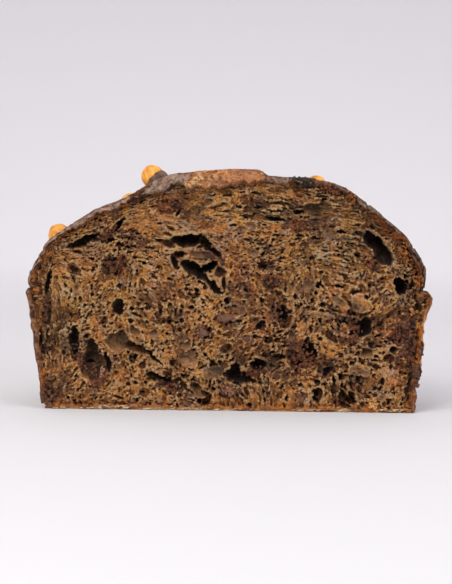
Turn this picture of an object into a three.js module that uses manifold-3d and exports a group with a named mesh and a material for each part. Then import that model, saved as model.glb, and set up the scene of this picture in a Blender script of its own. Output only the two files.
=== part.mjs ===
// Half of a low, domed chocolate panettone, cut through the middle and standing on its flat base.
// Units are millimetres. +Z is up, +Y runs from the cut face to the back of the loaf, and +X is to the
// right of someone who faces the cut. The origin is the middle of the underside's bounding rectangle.
import * as THREE from "three";
import { mergeVertices } from "three/addons/utils/BufferGeometryUtils.js";
import Module from "manifold-3d";

const wasm = await Module();
wasm.setup();

// Driving dimensions
const baseRadius = 92; // flat underside, out to where the bottom corner starts to round
const apexHeight = 125.6;
const cutY = -2; // the knife went just in front of the loaf's middle
const clearance = 0.3; // between touching solids
const loafSegments = 72; // round the whole loaf
const profileSteps = 36; // from the bottom corner to the top of the dome
const nutSegments = 14;
const nutSteps = 10;

// Outer profiles from the bottom corner, up the tin wall, over the rim and up the dome: [radius, height].
// The loaf leans a little, so its right side (+X) and its left side (-X) differ.
const rightProfile = [
  [96.2, 3.2],
  [97.2, 15],
  [99.2, 32],
  [101.8, 48],
  [104.6, 58.4],
  [101.2, 62.6],
  [101.9, 67],
  [101.8, 73.5],
  [97.6, 82.4],
  [88.6, 94.3],
  [79.2, 102.5],
  [66, 112.4],
  [53.6, 118.4],
  [35, 121.4],
  [17, 123.8],
  [0, apexHeight],
];
const leftProfile = [
  [95.8, 3.2],
  [98.6, 14],
  [100.9, 29],
  [103.1, 46],
  [105, 58.8],
  [101.8, 62.6],
  [103.6, 66.4],
  [102.4, 73],
  [97.4, 81.6],
  [84.6, 94.4],
  [77.4, 99.2],
  [67.6, 105],
  [56.8, 109.6],
  [42, 117.2],
  [21, 123.6],
  [0, apexHeight],
];

// Whole hazelnuts baked onto the dome: where each stands in plan, and how its point leans.
const nutRadius = 6.2;
const nutSunk = 0.42; // share of the radius that is below the dome's surface
const nuts = [
  { x: -88.7, y: 27.5, lean: 0.9, turn: 2.6 },
  { x: -52.9, y: 50, lean: 0.5, turn: 0.4 },
  { x: -39.4, y: 10.5, lean: 1.1, turn: 3.4 },
  { x: 45, y: 43.5, lean: 0.3, turn: 1.2 },
  { x: -11, y: 68, lean: 0.8, turn: 5.1 },
  { x: -72, y: 61, lean: 1.3, turn: 0.9 },
  { x: -33, y: 86, lean: 0.6, turn: 4.2 },
  { x: 12, y: 88, lean: 1.0, turn: 2.1 },
  { x: 62, y: 66, lean: 0.4, turn: 5.7 },
  { x: 83, y: 49, lean: 1.2, turn: 3.0 },
  { x: 41, y: 86, lean: 0.7, turn: 1.7 },
];

// Chocolate pieces cut through by the knife, flush with the cut face: centre, half sizes and turn.
const chips = [
  { x: -1.6, z: 48.3, halfX: 4.8, halfZ: 2.7, depth: 3.4, turn: 0.25 },
  { x: -13.6, z: 40.6, halfX: 2.3, halfZ: 3.4, depth: 2.8, turn: -0.5 },
  { x: 9, z: 37.6, halfX: 1.7, halfZ: 1.5, depth: 2.2, turn: 0.2 },
];

// The largest air pockets that the cut opened: centre, half length, half width, depth and turn.
const pockets = [
  { x: -75, z: 86.2, long: 11.5, wide: 2.6, deep: 12, turn: 0.33 },
  { x: -60.5, z: 93.5, long: 7, wide: 2.8, deep: 11, turn: 0.8 },
  { x: -94, z: 66, long: 11.5, wide: 2.4, deep: 8, turn: 1.55 },
  { x: -25, z: 87.6, long: 11, wide: 2.8, deep: 12, turn: 0.02 },
  { x: -19.5, z: 71, long: 9.5, wide: 2.8, deep: 13, turn: -0.68 },
  { x: -7.6, z: 72.6, long: 6, wide: 3.6, deep: 12, turn: 0.1 },
  { x: 76, z: 85, long: 11, wide: 4.2, deep: 15, turn: -0.85 },
  { x: 89, z: 66.4, long: 4.6, wide: 3.4, deep: 11, turn: -1.05 },
  { x: -80, z: 36, long: 6.2, wide: 2.3, deep: 9, turn: -1.3 },
  { x: -71, z: 23, long: 11, wide: 7, deep: 5, turn: 1.5 },
  { x: 5.5, z: 16.6, long: 9, wide: 4.4, deep: 12, turn: -0.42 },
  { x: 16.2, z: 24, long: 3.8, wide: 2.8, deep: 9, turn: 0 },
  { x: 70, z: 44.8, long: 6.4, wide: 3.6, deep: 11, turn: 1.05 },
  { x: -58.5, z: 53.6, long: 3.6, wide: 2.8, deep: 8, turn: 0.2 },
];

const crust = new THREE.MeshStandardMaterial({ color: 0x5a4034, roughness: 0.85, metalness: 0 });
const hazelnut = new THREE.MeshStandardMaterial({ color: 0xe6a545, roughness: 0.5, metalness: 0 });
const chocolate = new THREE.MeshStandardMaterial({ color: 0x6b4436, roughness: 0.6, metalness: 0 });

const profileCurve = (points) =>
  new THREE.SplineCurve(points.map(([radius, height]) => new THREE.Vector2(radius, height)));
const rightCurve = profileCurve(rightProfile);
const leftCurve = profileCurve(leftProfile);

// The loaf's outside at a turn round its axis (0 at +X, through +Y) and a share of the way up its profile.
// The two profiles change smoothly into each other, and slow waves keep the back from being a true circle.
function crustPoint(turn, along) {
  const right = rightCurve.getPoint(along);
  const left = leftCurve.getPoint(along);
  const outline = right.lerp(left, (1 - Math.cos(turn)) / 2);
  const awayFromCut = Math.sin(turn) ** 2;
  const wave = 0.007 * Math.sin(5 * turn + 0.6) + 0.005 * Math.sin(8 * turn + 2 + 3 * along);
  const radius = outline.x * (1 + awayFromCut * wave);
  return new THREE.Vector3(radius * Math.cos(turn), radius * Math.sin(turn), outline.y);
}

// The whole loaf as rings of points between the middle of the underside and the top of the dome.
function wholeLoaf() {
  const positions = [0, 0, 0];
  const ringPoint = (turn, ring) =>
    ring === 0
      ? new THREE.Vector3(baseRadius * Math.cos(turn), baseRadius * Math.sin(turn), 0)
      : crustPoint(turn, (ring - 1) / profileSteps);
  for (let ring = 0; ring <= profileSteps; ring++)
    for (let side = 0; side < loafSegments; side++)
      positions.push(...ringPoint((side / loafSegments) * 2 * Math.PI, ring).toArray());
  positions.push(0, 0, apexHeight);
  const apex = positions.length / 3 - 1;
  const indices = [];
  for (let side = 0; side < loafSegments; side++) {
    const next = (side + 1) % loafSegments;
    indices.push(0, 1 + next, 1 + side);
    for (let ring = 0; ring < profileSteps; ring++) {
      const low = 1 + ring * loafSegments;
      const high = low + loafSegments;
      indices.push(low + side, low + next, high + next);
      indices.push(low + side, high + next, high + side);
    }
    const top = 1 + profileSteps * loafSegments;
    indices.push(top + side, top + next, apex);
  }
  const geometry = new THREE.BufferGeometry();
  geometry.setAttribute("position", new THREE.Float32BufferAttribute(positions, 3));
  geometry.setIndex(indices);
  return geometry;
}

// A three.js geometry, placed by a matrix, as a manifold-3d solid.
function solidOf(geometry, matrix = new THREE.Matrix4()) {
  const placed = geometry.clone().applyMatrix4(matrix);
  placed.deleteAttribute("normal");
  placed.deleteAttribute("uv");
  const merged = mergeVertices(placed, 1e-4);
  return new wasm.Manifold(
    new wasm.Mesh({
      numProp: 3,
      vertProperties: merged.attributes.position.array,
      triVerts: new Uint32Array(merged.index.array),
    }),
  );
}

function geometryOf(solid) {
  const mesh = solid.getMesh();
  const geometry = new THREE.BufferGeometry();
  geometry.setAttribute("position", new THREE.BufferAttribute(mesh.vertProperties, 3));
  geometry.setIndex(new THREE.BufferAttribute(mesh.triVerts, 1));
  geometry.computeVertexNormals();
  return geometry;
}

// A hazelnut stands on its blunt end and draws in to a small point: [radius, height] in nut radii.
function nutGeometry() {
  const outline = [
    [0, -0.86],
    [0.5, -0.78],
    [0.86, -0.42],
    [1, 0.02],
    [0.9, 0.46],
    [0.58, 0.82],
    [0.2, 1.0],
    [0, 1.08],
  ];
  const points = outline.map(([radius, height]) => new THREE.Vector2(radius, height));
  const curve = new THREE.SplineCurve(points).getPoints(nutSteps);
  curve.forEach((point) => point.setX(Math.max(point.x, 0)));
  curve[0].setX(0);
  curve[curve.length - 1].setX(0);
  const lathed = new THREE.LatheGeometry(
    curve.map((point) => point.multiplyScalar(nutRadius)),
    nutSegments,
  );
  return lathed.rotateX(Math.PI / 2); // LatheGeometry turns about Y
}

// The height and outward direction of the dome above a plan position, found by walking down its profile.
function domeAt(x, y) {
  const turn = Math.atan2(y, x);
  const reach = Math.hypot(x, y);
  let along = 0.98;
  while (crustPoint(turn, along).setZ(0).length() < reach) along -= 0.001;
  const here = crustPoint(turn, along);
  const up = crustPoint(turn, along + 0.01).sub(here);
  const across = crustPoint(turn + 0.01, along).sub(here);
  return { here, outward: across.cross(up).normalize() };
}

function nutMesh(nut, number, geometry) {
  const { here, outward } = domeAt(nut.x, nut.y);
  const mesh = new THREE.Mesh(geometry, hazelnut);
  mesh.name = `hazelnut_${number}`;
  mesh.position.copy(here).addScaledVector(outward, nutRadius * (1 - nutSunk));
  mesh.rotation.set(nut.lean, 0, nut.turn, "ZYX");
  return mesh;
}

// A broken flake of chocolate: an irregular outline drawn back into the crumb.
function chipGeometry(chip, grow) {
  const corners = 9;
  const outline = new THREE.Shape();
  for (let corner = 0; corner < corners; corner++) {
    const angle = (corner / corners) * 2 * Math.PI;
    const ragged = 1 + 0.13 * Math.sin(3 * angle + chip.x) + 0.07 * Math.cos(2 * angle);
    const across = (chip.halfX * ragged + grow) * Math.cos(angle);
    const upward = (chip.halfZ * ragged + grow) * Math.sin(angle);
    corner === 0 ? outline.moveTo(across, upward) : outline.lineTo(across, upward);
  }
  outline.closePath();
  const depth = chip.depth + grow;
  return new THREE.ExtrudeGeometry(outline, { depth, bevelEnabled: false })
    .rotateZ(chip.turn)
    .rotateX(Math.PI / 2)
    .translate(0, depth, 0);
}

function chipMesh(chip, number) {
  const mesh = new THREE.Mesh(chipGeometry(chip, 0), chocolate);
  mesh.name = `chocolate_chip_${number}`;
  mesh.position.set(chip.x, cutY, chip.z);
  return mesh;
}

// An air pocket is an ellipsoid whose middle lies on the cut face.
function pocketSolid(pocket) {
  const matrix = new THREE.Matrix4()
    .makeTranslation(pocket.x, cutY, pocket.z)
    .multiply(new THREE.Matrix4().makeRotationY(-pocket.turn))
    .multiply(new THREE.Matrix4().makeScale(pocket.long, pocket.deep, pocket.wide));
  return solidOf(new THREE.SphereGeometry(1, 12, 8), matrix);
}

// What the knife took away: everything in front of the cut.
function frontHalf() {
  const size = 4 * apexHeight;
  const box = new THREE.BoxGeometry(size, size, size);
  return solidOf(box, new THREE.Matrix4().makeTranslation(0, cutY - size / 2, 0));
}

function loafMesh(nutMeshes) {
  let solid = solidOf(wholeLoaf()).subtract(frontHalf());
  const roomier = new THREE.Vector3().setScalar(1 + clearance / nutRadius);
  for (const nut of nutMeshes) {
    const socket = new THREE.Matrix4().compose(nut.position, nut.quaternion, roomier);
    solid = solid.subtract(solidOf(nut.geometry, socket));
  }
  for (const chip of chips) {
    // The socket also reaches forward through the face, so that the chip's cut side shows.
    const lead = chip.depth;
    const deeper = { ...chip, depth: chip.depth + lead };
    const place = new THREE.Matrix4().makeTranslation(chip.x, cutY - lead, chip.z);
    solid = solid.subtract(solidOf(chipGeometry(deeper, clearance), place));
  }
  for (const pocket of pockets) solid = solid.subtract(pocketSolid(pocket));
  const mesh = new THREE.Mesh(geometryOf(solid), crust);
  mesh.name = "loaf";
  return mesh;
}

const half = new THREE.Group();
const hazelnutShape = nutGeometry();
const nutMeshes = nuts.map((nut, index) => nutMesh(nut, index + 1, hazelnutShape));
half.add(loafMesh(nutMeshes), ...nutMeshes, ...chips.map((chip, index) => chipMesh(chip, index + 1)));

// The origin goes to the middle of the underside.
const bounds = new THREE.Box3().setFromObject(half);
const middle = bounds.getCenter(new THREE.Vector3());
half.position.set(-middle.x, -middle.y, -bounds.min.z);
const panettone = new THREE.Group().add(half);

export default panettone;
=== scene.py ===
import math

import bpy
import numpy as np
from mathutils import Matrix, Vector


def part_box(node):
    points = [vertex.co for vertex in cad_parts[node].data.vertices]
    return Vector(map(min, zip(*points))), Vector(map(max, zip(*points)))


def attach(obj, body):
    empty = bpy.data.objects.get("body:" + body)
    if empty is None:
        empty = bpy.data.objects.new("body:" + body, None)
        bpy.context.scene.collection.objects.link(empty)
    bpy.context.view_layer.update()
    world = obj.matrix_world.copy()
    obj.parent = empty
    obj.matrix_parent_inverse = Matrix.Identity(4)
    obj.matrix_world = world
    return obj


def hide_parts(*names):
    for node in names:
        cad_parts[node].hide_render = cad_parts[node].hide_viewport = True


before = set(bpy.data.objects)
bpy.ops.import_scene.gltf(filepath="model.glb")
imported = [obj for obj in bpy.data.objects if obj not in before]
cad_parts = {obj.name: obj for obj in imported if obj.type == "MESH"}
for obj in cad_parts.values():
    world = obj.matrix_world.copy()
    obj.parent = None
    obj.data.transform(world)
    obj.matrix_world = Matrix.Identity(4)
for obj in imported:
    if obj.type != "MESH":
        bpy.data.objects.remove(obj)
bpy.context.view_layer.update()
mm = 0.001
loafLow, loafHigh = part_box("loaf")
cutY = loafLow.y  # the plane of the knife
centreX = (loafLow.x + loafHigh.x) / 2
origin = np.array([centreX, cutY, 0])  # every array of points is measured from here, in millimetres
nutCount = 11
chipCount = 3
print("frame loaded:", len(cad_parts), "pieces")


# Shader maths as plain expressions.

def colour(code):
    # a screen colour such as "8a6a44" as the linear values that the renderer uses
    parts = np.array([int(code[i:i + 2], 16) / 255 for i in (0, 2, 4)])
    linear = np.where(parts <= 0.04045, parts / 12.92, ((parts + 0.055) / 1.055) ** 2.4)
    return (*linear.tolist(), 1.0)


class Wire:  # one output socket, which can be added, multiplied and so on
    def __init__(self, paint, socket):
        self.paint = paint
        self.socket = socket

    def maths(self, operation, first, second):
        return self.paint.node("ShaderNodeMath", {"operation": operation}, {0: first, 1: second})

    def __add__(self, other):
        return self.maths("ADD", self, other)

    def __sub__(self, other):
        return self.maths("SUBTRACT", self, other)

    def __mul__(self, other):
        return self.maths("MULTIPLY", self, other)

    def __radd__(self, other):
        return self.maths("ADD", other, self)

    def __rsub__(self, other):
        return self.maths("SUBTRACT", other, self)

    def __rmul__(self, other):
        return self.maths("MULTIPLY", other, self)

    def between(self, low, high):
        # 0 below low, 1 above high, and a straight rise from one to the other
        return self.paint.node("ShaderNodeMapRange", {}, {0: self, 1: low, 2: high, 3: 0.0, 4: 1.0})


class Paint:  # one material, and the few kinds of node that it needs
    def __init__(self, name):
        self.material = bpy.data.materials.new(name)
        self.material.use_nodes = True
        self.tree = self.material.node_tree
        self.tree.nodes.clear()
        self.place = self.node("ShaderNodeTexCoord", {}, {}, "Object")

    def node(self, kind, settings, inputs, output=0):
        made = self.tree.nodes.new(kind)
        for key, value in settings.items():
            setattr(made, key, value)
        for key, value in inputs.items():
            if isinstance(value, Wire):
                self.tree.links.new(value.socket, made.inputs[key])
            else:
                made.inputs[key].default_value = value
        return Wire(self, made.outputs[output]) if len(made.outputs) else made

    def mix(self, share, first, second, kind="MIX"):
        settings = {"data_type": "RGBA", "blend_type": kind}
        return self.node("ShaderNodeMix", settings, {0: share, 6: first, 7: second}, 2)

    def noise(self, size, detail=3.0, roughness=0.55, warp=0.0):
        values = {"Vector": self.place, "Scale": 1 / size, "Detail": detail}
        values.update({"Roughness": roughness, "Distortion": warp})
        return self.node("ShaderNodeTexNoise", {}, values)

    def attribute(self, name, output="Fac"):
        return self.node("ShaderNodeAttribute", {"attribute_name": name}, {}, output)

    def bump(self, height, distance, strength=1.0):
        values = {"Height": height, "Distance": distance, "Strength": strength}
        return self.node("ShaderNodeBump", {}, values)

    def finish(self, sockets):
        shader = self.node("ShaderNodeBsdfPrincipled", {}, sockets)
        self.node("ShaderNodeOutputMaterial", {}, {"Surface": shader})
        return self.material


# Whole-array tools: noise, smooth steps, curves and meshes.

def smooth(value, low, high):
    # 0 below low and 1 above high, with an eased rise 3t^2 - 2t^3 between them
    share = np.clip((value - low) / (high - low), 0, 1)
    return share * share * (3 - 2 * share)


def shade(code):
    return np.array(colour(code)[:3])


def blend(first, second, share):
    # from the first to the second: arrays of colours, or screen colours
    first, second = (shade(tint) if isinstance(tint, str) else tint for tint in (first, second))
    return first + (second - first) * share[..., None]


def cellNumber(cell, seed):
    # a repeatable number from 0 to 1 for each whole-numbered
    # cell: its coordinates times large odd numbers, scrambled
    mixed = (cell[0] * 73856093) ^ (cell[1] * 19349663) ^ (cell[2] * 83492791) ^ (seed * 2654435761)
    mixed = mixed & 0xFFFFFFFF
    mixed = ((mixed ^ (mixed >> 15)) * 2246822519) & 0xFFFFFFFF
    mixed = ((mixed ^ (mixed >> 13)) * 3266489917) & 0xFFFFFFFF
    return (mixed ^ (mixed >> 16)) / 0xFFFFFFFF


def softNoise(place, size, seed):
    # random numbers at the corners of a lattice of cubes, eased across each cube: from -1 to 1
    where = np.stack(np.broadcast_arrays(*place)) / size
    cell = np.floor(where).astype(np.int64)
    part = where - cell
    ease = part * part * (3 - 2 * part)
    total = 0
    for corner in np.ndindex(2, 2, 2):
        share = 1
        for axis in range(3):
            share = share * (ease[axis] if corner[axis] else 1 - ease[axis])
        total = total + share * cellNumber([cell[axis] + corner[axis] for axis in range(3)], seed)
    return 2 * total - 1


def noise(place, size, layers, seed):
    # soft noise, plus half as much at half the size, and so on
    total = 0
    for layer in range(layers):
        total = total + softNoise(place, size / 2 ** layer, seed + 17 * layer) / 2 ** layer
    return total


def cracks(place, size, seed):
    # a lattice with one wandering point in each cube: 0 on the
    # borders between two points' territories, rising inside
    where = np.stack(np.broadcast_arrays(*place)) / size
    cell = np.floor(where).astype(np.int64)
    nearest = np.full(where.shape[1:], 9.0)
    second = nearest.copy()
    for step in np.ndindex(3, 3, 3):
        near = [cell[axis] + step[axis] - 1 for axis in range(3)]
        away = [near[axis] + cellNumber(near, seed + axis) - where[axis] for axis in range(3)]
        gap = sum(part ** 2 for part in away) ** 0.5
        second = np.minimum(second, np.maximum(nearest, gap))
        nearest = np.minimum(nearest, gap)
    return second - nearest


def turned(x, z, angle):
    # along an axis that leans by this angle, and across it
    return x * math.cos(angle) + z * math.sin(angle), z * math.cos(angle) - x * math.sin(angle)


def walk(path, count):
    # a path's points again, at equal steps of its length
    length = np.concatenate([[0], np.cumsum(np.linalg.norm(np.diff(path, axis=0), axis=1))])
    even = np.linspace(0, length[-1], count)
    return np.stack([np.interp(even, length, path[:, axis]) for axis in range(path.shape[1])], 1)


def eased(path, reach):
    # each point becomes the mean of those up to reach steps away
    padded = np.pad(path, ((reach, reach), (0, 0)), "edge")
    kernel = np.ones(2 * reach + 1) / (2 * reach + 1)
    return np.stack([np.convolve(padded[:, axis], kernel, "valid") for axis in range(2)], 1)


def throughPoints(points, count):
    # Catmull-Rom: each stretch is a cubic through its two points, aimed along the
    # chord of their neighbours, and the result is walked in equal steps of length
    points = np.array(points, float)
    padded = np.vstack([2 * points[0] - points[1], points, 2 * points[-1] - points[-2]])
    share = np.linspace(0, len(points) - 1, 60 * len(points))
    start = np.minimum(share.astype(int), len(points) - 2)
    t = (share - start)[:, None]
    a, b, c, d = (padded[start + offset] for offset in range(4))
    curve = b + t / 2 * (c - a + t * (2 * a - 5 * b + 4 * c - d + t * (3 * b - a - 3 * c + d)))
    return walk(curve, count)


def gridFaces(rows, columns, first=0):
    # the quads of a grid of points that is numbered row by row
    corner = first + np.arange(rows - 1)[:, None] * columns + np.arange(columns - 1)
    return np.stack([corner, corner + 1, corner + columns + 1, corner + columns], -1).reshape(-1, 4)


def ball(rings, segments):
    # the angles of a closed ball's points, down from one end
    # and round it, and its faces: a single point at each end
    tilt = np.linspace(0, math.pi, rings)[1:-1]
    around = np.arange(segments) * 2 * math.pi / segments
    count = len(tilt) * segments
    number = 1 + np.arange(count).reshape(-1, segments)
    after = np.roll(number, -1, 1)
    sides = np.stack([number[:-1], number[1:], after[1:], after[:-1]], -1).reshape(-1, 4)
    top = np.stack([0 * number[0], number[0], after[0]], 1)
    end = np.stack([0 * number[0] + count + 1, after[-1], number[-1]], 1)
    tilts = np.concatenate([[0], np.repeat(tilt, segments), [math.pi]])
    arounds = np.concatenate([[0], np.tile(around, len(tilt)), [0]])
    return tilts, arounds, [sides, top, end]


def copies(faces, size, count):
    # the faces of one small mesh that has this many points, over again for each of many such meshes
    numbers = size * np.arange(count)[:, None, None]
    return [(face[None] + numbers).reshape(-1, face.shape[1]) for face in faces]


def onBall(tilt, around):
    # the points at these angles on a ball with a radius of 1
    return np.stack([np.sin(tilt) * np.cos(around), np.sin(tilt) * np.sin(around), np.cos(tilt)], -1)


def makePiece(name, points, faceLists, material, values=None, tint=None, node="loaf"):
    # one mesh from an array of points in millimetres and
    # lists of faces, each list with its own number of corners
    sizes = np.concatenate([np.full(len(faces), faces.shape[1]) for faces in faceLists])
    corners = np.concatenate([faces.ravel() for faces in faceLists])
    mesh = bpy.data.meshes.new(name)
    mesh.vertices.add(len(points))
    mesh.loops.add(len(corners))
    mesh.polygons.add(len(sizes))
    placed = points * mm + origin
    mesh.vertices.foreach_set("co", placed.astype(np.float32).ravel())
    mesh.loops.foreach_set("vertex_index", corners.astype(np.int32))
    mesh.polygons.foreach_set("loop_start", (np.cumsum(sizes) - sizes).astype(np.int32))
    mesh.update(calc_edges=True)
    mesh.shade_smooth()
    for key, value in (values or {}).items():
        layer = mesh.attributes.new(key, "FLOAT", "POINT")
        layer.data.foreach_set("value", value.astype(np.float32).ravel())
    if tint is not None:
        solid = np.concatenate([tint, np.ones((len(tint), 1))], 1)
        layer = mesh.attributes.new("tint", "FLOAT_COLOR", "POINT")
        layer.data.foreach_set("color", solid.astype(np.float32).ravel())
    mesh.materials.append(material)
    piece = bpy.data.objects.new(name, mesh)
    bpy.context.scene.collection.objects.link(piece)
    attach(piece, "root")
    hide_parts(node)
    print(name, "made:", len(sizes), "faces")


# The loaf's outside. Sizes are in millimetres: x to the right of the middle, y back from the cut, z up.
shape = {
    # outline at the cut, from the underside to just under the rim: distance out, height
    "rightWall": [(95.6, 0), (97.3, 0.4), (97.9, 2), (97.7, 10), (98.0, 15), (99.9, 24), (100.5, 30),
                  (101.6, 44), (102.4, 48), (103.9, 52), (105.4, 56), (105.8, 59), (105, 61.3),
                  (102.8, 62.2), (100, 62.4)],
    "leftWall": [(91.5, 0), (93.8, 0.6), (95.3, 2.8), (97.0, 8), (98.7, 20), (101, 30), (102.3, 40),
                 (103.6, 50), (105, 57.5), (105.8, 60), (104.8, 61.6), (103, 62), (101, 61.8)],
    # and from the groove above the rim to the top of the dome
    "rightDome": [(100.2, 62), (101, 63.6), (101.8, 68), (102.2, 74), (101.2, 77.2), (97, 84),
                  (91, 92.3), (85, 97.6), (80, 101.6), (75, 106), (65, 113.2), (58, 117.2), (51, 119.6),
                  (40, 121.2), (28, 121.9), (20.5, 122.4), (18.4, 123.4), (16.2, 125), (12, 125.8),
                  (0, 125.8)],
    "leftDome": [(100.8, 61.8), (103, 62.8), (104.2, 65.4), (103.7, 69.5), (102.4, 74), (98.4, 80),
                 (95, 86.4), (89, 91.2), (80, 97.5), (69.5, 104), (60, 107.8), (51, 112), (43, 117),
                 (35, 121), (27, 123.2), (13, 124.8), (0, 125.8)],
    "rim": 105.8,  # how far out the rim stands on both sides
    "depth": (loafHigh.y - cutY) / mm,  # of the whole half, at the rim
    "wave": 0.007,  # how far the back strays from a true circle
}
roundness = shape["depth"] / shape["rim"]  # of the loaf as seen from above: 1 is a true half circle


def roundLoaf(right, left, turn):
    # the right and left outlines, carried round the loaf: point = outline(turn) * (cos turn, sin turn),
    # where outline = right + (left - right) * (1 - cos turn) / 2, and slow waves that vanish at the cut
    outline = right + (left - right) * ((1 - np.cos(turn)) / 2)[..., None]
    ripple = np.sin(5 * turn + 0.6) + 0.7 * np.sin(8 * turn + 2 + outline[..., 1] / 40)
    radius = outline[..., 0] * (1 + shape["wave"] * np.sin(turn) ** 2 * ripple)
    return np.stack([radius * np.cos(turn), roundness * radius * np.sin(turn), outline[..., 1]], -1)


def cutOutline(side, sign):
    # one side of the outline on the cut face, from the underside to the top of the dome, as x and z
    path = np.vstack([throughPoints(shape[side + "Wall"], 200), throughPoints(shape[side + "Dome"], 300)])
    return path * np.array([sign, 1])


leftOutline = cutOutline("left", -1)
rightOutline = cutOutline("right", 1)
wholeOutline = np.vstack([leftOutline, rightOutline[::-1]])


def fromOutline(x, z):
    # distance of each point from the nearest point of the outline, and the direction from there to here
    here = np.stack([x.ravel(), z.ravel()], 1)
    underside = np.stack([np.linspace(rightOutline[0, 0], leftOutline[0, 0], 150), np.zeros(150)], 1)
    edge = np.vstack([wholeOutline, underside])
    nearest = []
    for block in np.array_split(here, 24):
        square = (block[:, None, 0] - edge[None, :, 0]) ** 2 + (block[:, None, 1] - edge[None, :, 1]) ** 2
        nearest.append(np.argmin(square, axis=1))
    nearest = np.concatenate(nearest)
    away = here - edge[nearest]
    distance = np.linalg.norm(away, axis=1)
    inward = away / np.maximum(distance, 0.01)[:, None]
    return distance.reshape(x.shape), inward[:, 0].reshape(x.shape), inward[:, 1].reshape(x.shape)


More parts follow.
